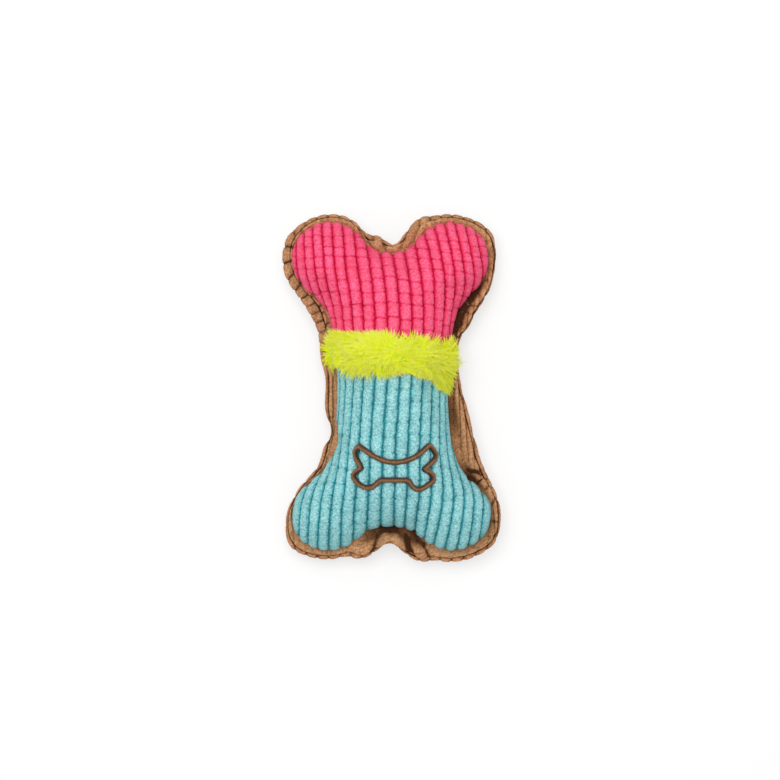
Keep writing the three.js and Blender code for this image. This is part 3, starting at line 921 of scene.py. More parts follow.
def strand_finish(name, label, stops, tones):
    """Strands coloured along or across them by a value, each in its own tone."""
    finish = Finish(name)
    strand = finish.ramp(finish.attribute(label), stops)
    low, high = tones
    shade = finish.ramp(finish.attribute("shade"), [(0.0, grey(low)), (1.0, grey(high))])
    finish.colour(finish.overlay(strand, shade))
    return finish


def fur_finish():
    # Deep lime roots and pale yellow tips: the strands' own colour, with painted shade deep in the
    # fur and painted highlight at the tips
    shaded_roots_to_lit_tips = [
        (0.0, linear(0.66, 0.84, 0.0)),
        (0.4, linear(0.90, 0.96, 0.01)),
        (0.75, linear(0.97, 0.99, 0.2)),
        (1.0, linear(1.0, 1.0, 0.66)),
    ]
    finish = strand_finish("lime_fur", "tip", shaded_roots_to_lit_tips, (0.34, 0.7))
    finish.set(roughness=0.6, specular=0.15, sheen=0.05)
    return finish.material


def thread_finish():
    # Dark ends and a light middle on each stitch: painted shade at its edges and painted highlight
    # on its crown
    shaded_edges_to_lit_crown = [
        (0.0, linear(0.10, 0.04, 0.01)),
        (0.45, linear(0.24, 0.13, 0.03)),
        (0.8, linear(0.42, 0.26, 0.10)),
        (1.0, linear(0.56, 0.37, 0.16)),
    ]
    finish = strand_finish("brown_thread", "crown", shaded_edges_to_lit_crown, (0.30, 0.62))
    finish.bump(finish.noise(0.4, 2.0), 0.1)
    finish.set(roughness=0.4, specular=0.4, sheen=0.2)
    return finish.material


def fibre_finish():
    finish = Finish("white_fibre")
    tangle = finish.ramp(
        finish.noise(1.4, 4.0, 0.7),
        [(0.3, linear(0.80, 0.80, 0.79)), (0.7, linear(0.95, 0.95, 0.94))],
    )
    finish.colour(tangle)
    finish.bump(finish.noise(1.0, 4.0, 0.7), 0.6)
    finish.set(roughness=0.9, specular=0.1, sheen=0.4)
    return finish.material


def plastic_finish(name, colour, shade, clear):
    """Moulded plastic with a little flow in its colour and fine scuffs in its gloss."""
    finish = Finish(name)
    finish.colour(finish.ramp(finish.noise(3.0), [(0.35, shade), (0.65, colour)]))
    scuffs = finish.ramp(finish.noise(0.6, 4.0), [(0.3, grey(0.25)), (0.7, grey(0.4))])
    finish.tree.links.new(scuffs, finish.shader.inputs["Roughness"])
    finish.bump(finish.noise(0.8, 2.0), 0.02)
    finish.set(clear=clear, ior=1.5)
    return finish.material


LIME = fur_finish()
THREAD = thread_finish()
FIBRE = fibre_finish()
CLEAR = plastic_finish("clear_plastic", linear(0.93, 0.94, 0.93), linear(0.88, 0.9, 0.89), 0.6)
WHISTLE = plastic_finish(
    "whistle_plastic", linear(0.93, 0.93, 0.91), linear(0.88, 0.88, 0.86), 0.0
)
REED = plastic_finish("reed_plastic", linear(0.85, 0.87, 0.9), linear(0.8, 0.83, 0.87), 0.3)


def dress(piece, material):
    piece.data.materials.clear()
    piece.data.materials.append(material)


# Front cloth


def motif_line(count):
    """Points round the embroidered bone: sagging above, with horns, feet and a flat belly."""
    line = np.array(MOTIF_PLACES + MOTIF_PLACES[:1])
    length = np.insert(np.cumsum(np.linalg.norm(np.diff(line, axis=0), axis=1)), 0, 0)
    even = np.linspace(0, length[-1], count, endpoint=False)
    round_line = np.stack([np.interp(even, length, line[:, i]) for i in (0, 1)], axis=-1)
    return np.stack([softened(axis, 9, "wrap") for axis in round_line.T], axis=-1) + MOTIF


def distance_to_line(x, y, line):
    """Distance in plan from each point to the nearest of the line's points."""
    tree = search_tree([(line_x, line_y, 0) for line_x, line_y in line])
    found = [tree.find((px, py, 0))[2] for px, py in zip(np.ravel(x), np.ravel(y))]
    return np.array(found).reshape(np.shape(x))


def lens(points):
    """A closed, even mesh of the stuffed front, for the simulation."""
    rim = points[::SIM_STEP, ::SIM_STEP]
    below = rim.copy()
    below[..., 2] = FRONT_BASE - SIM_UNDERSIDE * (rim[..., 2] - FRONT_BASE)
    top = wrapped(rim)
    under = top + rim.shape[0] * rim.shape[1]
    under[0] = top[0]
    faces = [quads(top), quads(under)[:, ::-1]]
    form = add_piece("stuffing_form", joined(rim, below), faces)
    return remeshed(form, SIM_VOXEL)


def stuffed(points):
    """The front after its stuffing has pressed the cloth out from inside, with the seam held."""
    form = lens(points)
    before = positions(form.data)
    depth = bone_depth(*plan(before))
    held = form.vertex_groups.new(name="seam")
    fixed = np.nonzero((depth < SIM_HELD) | (before[:, 2] < FRONT_BASE))[0]
    held.add(fixed.tolist(), 1.0, "REPLACE")
    cloth = form.modifiers.new("stuffing", "CLOTH")
    cloth.settings.quality = 6
    cloth.settings.use_pressure = True
    cloth.settings.uniform_pressure_force = SIM_PRESSURE
    cloth.settings.vertex_group_mass = "seam"
    cloth.settings.shrink_min = -SIM_SLACK
    cloth.settings.bending_stiffness = 0.3
    cloth.settings.effector_weights.gravity = 0.0
    cloth.collision_settings.use_collision = False
    cloth.point_cache.frame_end = SIM_FRAMES
    scene = bpy.context.scene
    for number in range(1, SIM_FRAMES + 1):
        scene.frame_set(number)
    after = positions(made_plain(form).data)
    bpy.data.objects.remove(form)
    scene.frame_set(1)
    moved = after - before
    size = np.linalg.norm(moved, axis=1, keepdims=True)
    moved *= np.minimum(1.0, SIM_CAP / np.maximum(size, 1e-6))
    return points + carried(points, before, moved)


def carried(points, places, moves):
    """Moves of nearby places, averaged for each point and spread over the grid."""
    tree = search_tree(places)
    coarse = points[::SIM_STEP, ::SIM_STEP]
    result = np.zeros(coarse.shape)
    for cell in np.ndindex(coarse.shape[:2]):
        near = tree.find_n(coarse[cell], 8)
        weight = np.array([1 / (away**2 + 4) for _, _, away in near])
        result[cell] = weight @ moves[[i for _, i, _ in near]] / weight.sum()
    result[0] = 0
    result = np.concatenate([result, result[:, :1]], axis=1)
    rows = np.arange(points.shape[0]) / SIM_STEP
    columns = np.arange(points.shape[1]) / SIM_STEP
    tall = spread(result, rows, 0)
    return spread(tall, columns, 1)


def spread(values, places, axis):
    """Values read between the steps of one axis, smoothly."""
    low = np.clip(np.floor(places).astype(int), 0, values.shape[axis] - 2)
    part = smooth_step(places - low)
    part = part.reshape([-1 if i == axis else 1 for i in range(values.ndim)])
    return np.take(values, low, axis) * (1 - part) + np.take(values, low + 1, axis) * part


def pulled_in(points):
    """How far to the right the seam allowance draws the left flank."""
    near = bell(points[..., 1] - PULL_PLACE, PULL_SPREAD)
    flank = fade(-points[..., 0], PULL_FROM, PULL_FADE)
    return PULL * near * smooth_step(flank)


def swollen(points):
    """How far the front swells out over the seam."""
    x, y = plan(points)
    knob = np.prod(fade(np.abs(points[..., :2]), KNOB_FROM, KNOB_FADE), axis=-1)
    place = np.exp(-((x - SWELL_PLACE[0]) ** 2 + (y - SWELL_PLACE[1]) ** 2) / SWELL_SPREAD**2)
    edge = np.clip(1 - bone_depth(x, y) / SWELL_EDGE, 0, 1)
    return (KNOB_SWELL * knob + SWELL * place) * edge


front = dome(front_height, FRONT_ROWS)
front = stuffed(front)
front[..., 0] += pulled_in(front)
front += dome_normals(front) * (1, 1, 0) * swollen(front)[..., None]
front[0, :, 2] -= SEAM_SINK
front_normals = dome_normals(front)


def front_relief(points, block, cuts, seed):
    """Height of the ribs at points of the front, and the depth of their grooves, which sets
    painted shade.
    """
    across, along = grain(*plan(points))
    across = across + waver(points, RIB_WANDER, seed + 2) + waver(points, RIB_FRAY, seed + 5)
    along = along + waver(points, BLOCK_FRAY, seed + 6)
    ribs = corduroy(across, along, RIB_PITCH, block, cuts, seed)
    height = RIB_DEPTH * (ribs - 1) + RIB_PROUD + FRONT_PILE * pile(points, seed + 3)
    return height, 1 - ribs


def column_at(y):
    """Column on the right side whose ray crosses at that y."""
    return int(np.argmin(np.abs(SEAM_Y[: HALF_COLUMNS + 1] - y)))


def front_panel(name, columns, block, cuts, seed):
    points = front[:, columns]
    normals = front_normals[:, columns]
    height, groove = front_relief(points, block, cuts, seed)
    depth = bone_depth(*plan(points))
    held = LENGTHWISE[columns] * np.clip(1 - depth / FLANK_FADE, 0, 1)
    height = height * (1 - FLANK_PRESS * held)
    if points[0, :, 1].min() < 0:
        away = distance_to_line(*plan(points), motif_line(600))
        height -= MOTIF_PRESS * bell(away, MOTIF_PRESS_WIDTH)
    outer = points + normals * height[..., None]
    step = slice(None, None, LINING_STEP)
    lining = (points - normals * CLOTH)[step, step]
    lining[..., 2] = np.maximum(lining[..., 2], FRONT_BASE - LINING_DROP)
    return sewn_panel(name, outer, lining, groove)


def panel_columns(half, middle):
    """Columns on both sides of a notch, a whole number of lining steps to each side."""
    half = half // LINING_STEP * LINING_STEP
    return np.arange(middle - half, middle + half + 1) % COLUMNS


pink_columns = panel_columns(HALF_COLUMNS - column_at(BAND_HIGH - BAND_TUCK), HALF_COLUMNS)
blue_columns = panel_columns(column_at(BAND_LOW + BAND_TUCK), 0)
front_upper = front_panel("front_upper", pink_columns, BLOCK_LENGTH, UPPER_CUTS, 11)
front_lower = front_panel("front_lower", blue_columns, LONG_BLOCK, LOWER_CUTS, 23)
dress(front_upper, PINK)
dress(front_lower, BLUE)


# Border round the seam


# Section of a layer: share of its width outwards, and share of its thickness up
LIP = [
    (-1.0, 0.4), (-0.95, 0.55), (-0.5, 0.6), (0.0, 0.6), (0.12, 0.66), (0.24, 0.76),
    (0.36, 0.88), (0.48, 1.0), (0.6, 1.08), (0.7, 1.12), (0.8, 1.1), (0.88, 1.0),
    (0.94, 0.85), (0.98, 0.66), (1.0, 0.45), (0.98, 0.25), (0.93, 0.1), (0.82, 0.02),
    (0.65, 0.0), (0.4, 0.0), (0.2, 0.0), (0.0, 0.0), (-0.5, 0.0), (-0.95, 0.1),
]


def round_seam(values):
    """Values given at the border's places, spread smoothly over all columns."""
    columns = np.array(
        [int(np.argmin(np.hypot(SEAM_X - x, SEAM_Y - y))) for x, y, *_ in BORDER_PLACES]
    )
    order = np.argsort(columns)
    placed = np.interp(
        np.arange(COLUMNS), columns[order], np.array(values)[order], period=COLUMNS
    )
    return softened(placed, 19, "wrap")


def fine_section():
    """The lip's section, with more points on its upper side."""
    whole = np.arange(len(LIP))
    steps = np.concatenate([whole[:3], np.linspace(3, 14, 34), whole[15:]])
    share, level = np.array(LIP).T
    return np.interp(steps, whole, share), np.interp(steps, whole, level)


def border_layer(name, width, layer, lift, channel, shadow, relief, seed):
    """One of the two layers of cloth that stand out round the seam.

    shadow is the distance from the seam of a painted shadow line where the other layer lies on
    this one.
    """
    inner = RAYS.reach(BORDER_TUCK)
    outer = RAYS.reach(-np.maximum(width, BORDER_LEAST))
    share, level = fine_section()
    outwards = np.maximum(share, 0)
    distance = (
        SEAM_REACH[:, None]
        + (outer - SEAM_REACH)[:, None] * outwards
        + (inner - SEAM_REACH)[:, None] * np.maximum(-share, 0)
    )
    x = RAYS.across[:, None] * distance
    y = RAYS.start[:, None] + RAYS.along[:, None] * distance
    low = fade(-outwards, -CHANNEL_END, CHANNEL_FADE) * (level > 0.3)
    sunk = channel[:, None] * smooth_step(low)
    bottom, thickness = layer
    z = bottom + thickness * level + lift[:, None] * outwards**2 - CHANNEL_DEPTH * sunk
    points = np.stack([x, y, z], axis=-1)
    round_ring = np.roll(points, -1, axis=0) - np.roll(points, 1, axis=0)
    round_section = np.roll(points, -1, axis=1) - np.roll(points, 1, axis=1)
    normals = unit(np.cross(round_section, round_ring))
    ribs = relief(points)
    shown = np.clip(outwards * 3, 0, 1)
    height = ribs * shown + BORDER_PILE * pile(points, seed)
    # Painted shade in the grooves of the ribs and in the sunk channel, and a painted shadow line
    # where the other layer lies on this one
    groove = np.maximum(np.clip(-GROOVE_SHADE * ribs, 0, 1) * shown, GROOVE_SHADE * sunk)
    from_line = outwards * width[:, None] - shadow[:, None]
    groove = np.maximum(groove, SHADOW_TONE * bell(from_line, BORDER_SHADOW))
    return ring_piece(name, points + normals * height[..., None], groove)


def along_seam(points):
    """Distance along the seam to the place on it that each point is level with."""
    past_x = points[..., 0] - SEAM_X[:, None]
    past_y = points[..., 1] - SEAM_Y[:, None]
    past = (past_x * RUN_X[:, None] + past_y * RUN_Y[:, None]) / np.hypot(RUN_X, RUN_Y)[:, None]
    return SEAM_LENGTH[:, None] + past


def blocks(points):
    """Relief of the back layer: the ends and sides of its ribs, cut into blocks here and there."""
    x = points[..., 0] + waver(points, BORDER_WANDER, 31)
    y = points[..., 1] + waver(points, BORDER_WANDER, 32)
    chunky = border_blocks[:, None]
    ribs = corduroy(x, y, BROWN_PITCH, BROWN_BLOCK, BORDER_CUTS, 33) - 1
    place = along_seam(points) / PAD_LENGTH + waver(points, PAD_WANDER, 39)
    pads = np.abs(place - np.floor(place) - 0.5) * 2
    return BROWN_DEPTH * ribs * (1 - PAD_SMOOTH * chunky) - PAD_DEPTH * chunky * pads**6


def nap(points):
    """Relief of the front layer: nap with a few creases, and ribs where it runs lengthwise."""
    along = along_seam(points) / CREASE_LENGTH + waver(points, CREASE_WANDER, 34)
    crease = np.round(along)
    beside = np.clip(1.6 + bone_depth(*plan(points)) / 4, 0, 1)
    depth = CREASE_DEPTH * np.maximum(chance(crease, 35), 0)
    depth = depth + DEEP_CREASE * border_blocks[:, None]
    depth = depth + DEEP_CREASE * border_channel[:, None] * beside
    creases = -depth * bell((along - crease) * CREASE_LENGTH, CREASE_WIDTH)
    x = points[..., 0] + waver(points, RIDGE_WANDER, 36)
    ribs = corduroy(x, points[..., 1], RIDGE_PITCH, BROWN_BLOCK, RIDGE_CUTS, 37) - 1
    shown = RIDGE_LEAST + (1 - RIDGE_LEAST) * LENGTHWISE * (1 - border_blocks)
    ridges = shown[:, None] * BROWN_DEPTH * ribs
    return creases + ridges + border_folds[:, None]


border_lift = spots_along_seam(BORDER_LIFTS)
border_channel = np.minimum(spots_along_seam(BORDER_CHANNELS), 1.0)
border_blocks = np.minimum(spots_along_seam(BORDER_BLOCKS), 1.0)
border_folds = spots_along_seam(BORDER_FOLDS)
border_width = round_seam([width for _, _, width, _ in BORDER_PLACES])
border_overhang = round_seam([overhang for *_, overhang in BORDER_PLACES])
front_width = border_width - border_overhang
border_front = border_layer(
    "border_front", front_width, FRONT_LAYER, border_lift, border_channel, border_width, nap, 37
)
border_back = border_layer(
    "border_back",
    border_width,
    BACK_LAYER,
    border_lift * BACK_LIFT,
    0 * border_lift,
    front_width,
    blocks,
    38,
)
dress(border_front, BROWN)
dress(border_back, BROWN)


# Back cloth


back = dome(back_height, BACK_ROWS)
back_normals = -dome_normals(back)


def back_panel():
    across, along = grain(*plan(back))
    wander = waver(back, BACK_WANDER, 41)
    ribs = corduroy(across + wander, along, BROWN_PITCH, BROWN_BLOCK, BROWN_CUTS, 43)
    height = BROWN_DEPTH * (ribs - 1) + BACK_PILE * (pile(back, 44) - 1)
    outer = back + back_normals * height[..., None]
    outer[..., 2] = np.maximum(outer[..., 2], BACK_FLOOR)
    lining = (back - back_normals * CLOTH)[::LINING_STEP, ::LINING_STEP]
    lining[0, :, 2] = BACK_UNDERSIDE + CLOTH
    under = wrapped(outer)
    inner = wrapped(lining) + ribs.size
    faces = [quads(under)[:, ::-1], quads(inner), edge_strip(under[0], inner[0])[:, ::-1]]
    # The depth of the grooves sets painted shade in the colour, and the lining takes the deepest
    # colour
    groove = np.concatenate([1 - ribs.ravel(), np.ones(lining.shape[0] * lining.shape[1])])
    return add_piece("back_cover", joined(outer, lining), faces, groove=groove)


back_cover = back_panel()
dress(back_cover, BROWN)


# Geometry Nodes


class Tree(Nodes):
    """A Geometry Nodes tree with named inputs."""

    def __init__(self, name, **inputs):
        self.tree = bpy.data.node_groups.new(name, "GeometryNodeTree")
        self.add_socket("Geometry", "Geometry", "INPUT")
        self.add_socket("Geometry", "Geometry", "OUTPUT")
        self.identifiers = {}
        for label, kind in inputs.items():
            socket = self.add_socket(label.replace("_", " "), kind, "INPUT")
            self.identifiers[label] = socket.identifier
        self.source = self.tree.nodes.new("NodeGroupInput")
        self.result = self.tree.nodes.new("NodeGroupOutput")

    def add_socket(self, label, kind, side):
        kind = "NodeSocket" + kind
        return self.tree.interface.new_socket(name=label, in_out=side, socket_type=kind)

    def given(self, label):
        return self.source.outputs[label]

    def named(self, label, kind="FLOAT_VECTOR"):
        node = self.node("GeometryNodeInputNamedAttribute", {"data_type": kind}, Name=label)
        return node.outputs[0]

    def random(self, low, high, **inputs):
        kind = {"data_type": "FLOAT"}
        return self.node("FunctionNodeRandomValue", kind, _2=low, _3=high, **inputs).outputs[1]

    def vector(self, operation, first, **inputs):
        node = self.node("ShaderNodeVectorMath", {"operation": operation}, _0=first, **inputs)
        return node.outputs[0]

    def aimed(self, upward, forward):
        """A turn with Z on one vector, and X as near as can be to another."""
        kind = "FunctionNodeAlignRotationToVector"
        raised = self.node(kind, {"axis": "Z"}, Vector=upward).outputs[0]
        settings = {"axis": "X", "pivot_axis": "Z"}
        return self.node(kind, settings, Rotation=raised, Vector=forward).outputs[0]

    def repeated(self, label, points, turn, size):
        """The given shape at each point."""
        shape = self.node("GeometryNodeObjectInfo", Object=self.given(label))
        node = self.node(
            "GeometryNodeInstanceOnPoints",
            Points=points,
            Instance=shape.outputs["Geometry"],
            Rotation=turn,
            Scale=size,
        )
        return node.outputs[0]

    def marked(self, geometry, label, value, kind="FLOAT"):
        """The repeated shapes with a value on each."""
        settings = {"data_type": kind, "domain": "INSTANCE"}
        node = self.node(
            "GeometryNodeStoreNamedAttribute", settings, Geometry=geometry, Name=label, Value=value
        )
        return node.outputs[0]

    def finish(self, geometry, material):
        """Ends the tree with real geometry in its material."""
        real = self.node("GeometryNodeRealizeInstances", Geometry=geometry).outputs[0]
        dressed = self.node("GeometryNodeSetMaterial", Geometry=real, Material=material)
        self.tree.links.new(dressed.outputs[0], self.result.inputs[0])

    def grow_on(self, piece, **values):
        """Runs the tree on a piece and leaves what it makes as the piece's plain mesh."""
        modifier = piece.modifiers.new(self.tree.name, "NODES")
        modifier.node_group = self.tree
        for label, value in values.items():
            modifier[self.identifiers[label]] = value
        return made_plain(piece)


# Fur band


def fur_tuft():
    """A tuft, a unit long: strands that lean together and bend over, marked from root to tip."""
    points, faces = [], []
    for strand in range(TUFT_STRANDS):
        turn = strand * 2 * math.pi / TUFT_STRANDS
        root = (TUFT_ROOT * math.cos(turn), TUFT_ROOT * math.sin(turn))
        first = len(points)
        for height in (0.0, 0.5):
            radius = STRAND_RADIUS * (1 - height) ** 0.5
            for corner in np.arange(3) * 2 * math.pi / 3:
                bent = root[0] * (1 - height) + TUFT_BEND * height**2
                aside = root[1] * (1 - height) + radius * math.sin(corner)
                points.append((bent + radius * math.cos(corner), aside, height))
        points.append((TUFT_BEND + 0.2 * root[0], 0.2 * root[1], 0.95 + 0.4 * root[0]))
        for side in range(3):
            after = (side + 1) % 3
            low, high = first, first + 3
            faces.append((low + side, low + after, high + after, high + side))
            faces.append((high + side, high + after, first + 6))
        faces.append((first + 2, first + 1, first))
    return small_shape("fur_tuft", points, faces, "tip", [min(point[2], 1.0) for point in points])


def fur_tree():
    """Tufts scattered on a skin, leaning and bent the way that it is combed."""
    tree = Tree(
        "fur_pile",
        Tuft="Object",
        Tufts_per_area="Float",
        Length="Float",
        Lift="Float",
        Stray="Float",
        Seed="Int",
    )
    roots = tree.node(
        "GeometryNodeDistributePointsOnFaces",
        Mesh=tree.given("Geometry"),
        Density=tree.given("Tufts per area"),
        Seed=tree.given("Seed"),
    )
    comb = tree.named("comb")
    stray = tree.node(
        "FunctionNodeRandomValue",
        {"data_type": "FLOAT_VECTOR"},
        Min=(-1.0, -1.0, -1.0),
        Max=(1.0, 1.0, 1.0),
        Seed=tree.given("Seed"),
    )
    upright = tree.vector("SCALE", roots.outputs["Normal"], Scale=tree.given("Lift"))
    strayed = tree.vector("SCALE", stray.outputs[0], Scale=tree.given("Stray"))
    heading = tree.vector("ADD", tree.vector("ADD", upright, _1=comb), _1=strayed)
    spun = tree.node(
        "FunctionNodeAxisAngleToRotation",
        Axis=(0.0, 0.0, 1.0),
        Angle=tree.random(-TUFT_SPIN, TUFT_SPIN),
    )
    twisted = tree.node(
        "FunctionNodeRotateRotation",
        {"rotation_space": "LOCAL"},
        Rotation=tree.aimed(heading, comb),
        Rotate_By=spun.outputs[0],
    )
    share = tree.math("MULTIPLY", tree.random(*TUFT_SIZES), tree.named("trim", "FLOAT"))
    length = tree.math("MULTIPLY", share, tree.given("Length"))
    tufts = tree.repeated("Tuft", roots.outputs["Points"], twisted.outputs[0], length)
    shaded = tree.marked(tufts, "shade", tree.random(0.0, 1.0, Seed=5))
    lying = tree.marked(shaded, "lie", roots.outputs["Normal"], "FLOAT_VECTOR")
    tree.finish(lying, LIME)
    return tree


def band_grid(side):
    """Points and normals of half the band's skin, from the flank to the middle line."""
    first, last = column_at(FUR_LOW), column_at(FUR_HIGH)
    columns = np.arange(first, last + 1)
    if side < 0:
        columns = (COLUMNS - columns) % COLUMNS
    points, normals = front[:, columns].copy(), front_normals[:, columns].copy()
    below = (FUR_HIGH - points[..., 1]) / (FUR_HIGH - FUR_LOW)
    x = points[..., 0]
    droop = smooth_step(fade(x, DROOP_FROM, DROOP_SPREAD))
    taper = fade(-x, TAPER_FROM, TAPER_SPREAD)
    points[..., 1] += below * FUR_TAPER * taper - (below + DROOP_EDGE) * FUR_DROOP * droop
    points[..., 1] += (1 - below) * FUR_CROWN * np.exp(-((x / CROWN_REACH) ** 4))
    points[..., 1] -= (1 - below) * FUR_TILT * np.clip(x / TILT_REACH, -1, 1)
    rest = front_height(*plan(points))
    points[..., 2] = np.where(droop > 0, np.maximum(rest, FRONT_BASE), points[..., 2])
    return points, normals


def fur_comb(points, normals):
    """Which way the fur lies: out to both ends, off the band's edges, and in tufts."""
    x, y = plan(points)
    middle = (FUR_LOW + FUR_HIGH) / 2
    even = 1 - FUR_EVEN * fade(np.abs(y - middle), EVEN_FROM, EVEN_FADE)
    tufts = [
        even * (waver(points, FUR_WAVES, 60 + i) + waver(points, FUR_TWISTS, 70 + i))
        for i in (0, 1)
    ]
    flank = fade(np.abs(x - WAIST_SHIFT), FLANK_FROM, FLANK_SPREAD)
    flow = np.stack(
        [
            END_FLOW * np.tanh(((x - FLOW_MIDDLE) / FLOW_REACH) ** 3) + tufts[0],
            EDGE_FLOW * ((y - middle) / EDGE_REACH) ** 3 - FUR_SAG * flank + tufts[1],
            -FUR_SAG + 0 * x,
        ],
        axis=-1,
    )
    close = np.sum(flow * normals, axis=-1) + FLANK_CLOSE * flank
    return flow - normals * close[..., None]


def lit_as_coat(mesh):
    """Strands shaded mostly by the lie of their skin, as fine fur that passes light on."""
    lie = np.zeros(len(mesh.vertices) * 3, np.float32)
    own = np.zeros(len(mesh.vertices) * 3, np.float32)
    mesh.attributes["lie"].data.foreach_get("vector", lie)
    mesh.vertices.foreach_get("normal", own)
    mixed = (FUR_COAT * lie + (1 - FUR_COAT) * own).reshape(-1, 3) + (0, 0, FUR_GLOW)
    mesh.normals_split_custom_set_from_vertices(unit(mixed))
    mesh.attributes.remove(mesh.attributes["lie"])


def fur_half(side, tree, tuft):
    """Skin and pile of one half of the band."""
    label = "right" if side > 0 else "left"
    points, normals = band_grid(side)
    y = points[..., 1]
    from_edge = np.minimum(y - y[:, :1], y[:, -1:] - y)
    thick = np.clip(from_edge / FUR_EDGE, 0, 1)
    lumpy = SKIN_EDGE + thick * (FUR_SKIN - SKIN_EDGE + waver(points, SKIN_LUMPS, 66))
    skin = points + normals * lumpy[..., None]
    index = numbered(skin)
    top = quads(index)[:, ::side]
    under = points + normals * SKIN_GAP
    lower = index + index.size
    bottom = quads(lower)[:, ::-side]
    walls = [
        np.stack([index[0], lower[0]]),
        np.stack([lower[-1], index[-1]]),
        np.stack([lower[:, 0], index[:, 0]]),
        np.stack([index[:, -1], lower[:, -1]]),
    ]
    edges = [quads(wall)[:, ::-side] for wall in walls]
    base = add_piece(
        f"fur_skin_{label}",
        joined(skin, under),
        [top, bottom, *edges],
        tip=np.full(2 * index.size, SKIN_TIP),
        shade=np.full(2 * index.size, SKIN_SHADE),
    )
    dress(base, LIME)
    trim = 1 - FUR_TRIM * fade(points[..., 0], TRIM_FROM, TRIM_SPREAD)
    pelt = add_piece(
        f"fur_pile_{label}",
        skin.reshape(-1, 3),
        [top],
        comb=fur_comb(points, normals).reshape(-1, 3),
        trim=trim.ravel(),
    )
    area = sum(face.area for face in pelt.data.polygons)
    tree.grow_on(
        pelt,
        Tuft=tuft,
        Tufts_per_area=FUR_TUFTS / area,
        Length=FUR_LENGTH * MM,
        Lift=FUR_LIFT,
        Stray=FUR_STRAY,
        Seed=80 + side,
    )
    lit_as_coat(pelt.data)
    return base, pelt


def fur_band():
    tree = fur_tree()
    tuft = fur_tuft()
    pieces = [piece for side in (1, -1) for piece in fur_half(side, tree, tuft)]
    bpy.data.objects.remove(tuft)
    return pieces


fur_pieces = fur_band()


# Embroidered bone


def stitch_mesh():
    """One satin stitch, a unit wide across the line, arched and round."""
    points, faces = [], []
    for place in np.linspace(-1, 1, 7):
        arch = STITCH_ARCH * (1 - place**4)
        slim = STITCH_RADIUS * math.sqrt(1.02 - place**2)
        for turn in np.arange(5) * 2 * math.pi / 5:
            points.append((0.5 * place, slim * math.cos(turn), arch + slim * math.sin(turn)))
    for ring in range(6):
        for side in range(5):
            after = (side + 1) % 5
            low, high = ring * 5, ring * 5 + 5
            faces.append((low + side, low + after, high + after, high + side))
    faces.append((4, 3, 2, 1, 0))
    faces.append(tuple(range(30, 35)))
    # Crown: 1 on the middle of the stitch and 0 at its ends, setting painted highlight and painted
    # shade in the thread's colour
    crown = [1 - (2 * abs(point[0])) ** 1.5 for point in points]
    return small_shape("stitch", points, faces, "crown", crown)


def stitch_tree():
    """A stitch across each point of a line."""
    tree = Tree("satin_stitches", Stitch="Object", Width="Float", Seed="Int")
    turn = tree.aimed(tree.named("upward"), tree.named("across"))
    share = tree.random(*STITCH_SIZES, Seed=tree.given("Seed"))
    width = tree.math("MULTIPLY", share, tree.given("Width"))
    stitches = tree.repeated("Stitch", tree.given("Geometry"), turn, width)
    tree.finish(tree.marked(stitches, "shade", tree.random(0.2, 0.8, Seed=9)), THREAD)
    return tree


def line_on_front(line):
    """Points of a plan line on the smooth front, with the cloth's normals."""
    points = front[:, blue_columns].reshape(-1, 3)
    normals = front_normals[:, blue_columns].reshape(-1, 3)
    tree = search_tree(points * (1, 1, 0))
    placed, upward = [], []
    for x, y in line:
        near = tree.find_n((x, y, 0), 6)
        picked = [i for _, i, _ in near]
        weight = np.array([1 / (away + 0.05) for _, _, away in near])
        weight = weight / weight.sum()
        placed.append((x, y, weight @ points[picked, 2]))
        upward.append(weight @ normals[picked])
    return np.array(placed), unit(np.array(upward))


def embroidery():
    """A padding cord along the bone's outline and the satin stitches over it."""
    line, upward = line_on_front(motif_line(STITCHES))
    along = unit(np.roll(line, -1, axis=0) - np.roll(line, 1, axis=0))
    across = unit(np.cross(upward, along))
    seat = line - upward * THREAD_SEAT
    turns = np.arange(8) * 2 * math.pi / 8
    half_width, half_height = np.array(PADDING_SHARES) * THREAD_WIDTH
    cord = (
        seat[:, None]
        + across[:, None] * (half_width * np.cos(turns))[None, :, None]
        + upward[:, None] * (half_height * np.sin(turns))[None, :, None]
    )
    # The padding, with no crown and the lowest tone, takes the thread's darkest colour: painted
    # shade between the stitches
    base = ring_piece("embroidery_padding", cord, np.zeros(cord.shape[:2]))
    base.data.attributes["groove"].name = "shade"
    dress(base, THREAD)
    slanted = unit(across + STITCH_SLANT * along)
    name = "embroidery_stitches"
    mesh = bpy.data.meshes.new(name)
    mesh.from_pydata((seat * MM).tolist(), [], [])
    store(mesh, "across", slanted)
    store(mesh, "upward", upward)
    stitches = new_object(name, mesh)
    stitch = stitch_mesh()
    stitch_tree().grow_on(stitches, Stitch=stitch, Width=THREAD_WIDTH * MM, Seed=3)
    bpy.data.objects.remove(stitch)
    return base, stitches


embroidery_pieces = embroidery()


# Stuffing and squeaker inside


def fibre_wad(name, nodes, body, room=0.0):
    """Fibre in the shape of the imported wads, with a soft, uneven surface inside theirs."""
    wad = remeshed(packed_shape(name, nodes), WAD_VOXEL)
    points = positions(wad.data)
    normals = np.zeros(len(points) * 3, np.float32)
    wad.data.vertices.foreach_get("normal", normals)
    sunk = WAD_SINK * (1 + waver(points, WAD_LUMPS, 91) + waver(points, WAD_FLUFF, 92))
    normals = normals.reshape(-1, 3)
    foot = room * fade(-points[:, 2], -FOOT_TOP, FOOT_FADE)
    moved = points - normals * sunk[:, None] - normals * (1, 1, 0.4) * foot[:, None]
    wad.data.vertices.foreach_set("co", (moved * MM).astype(np.float32).ravel())
    shade_smooth(wad.data)
    wad.data.update()
    dress(wad, FIBRE)
    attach(wad, body)
    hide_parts(*nodes)
    return wad


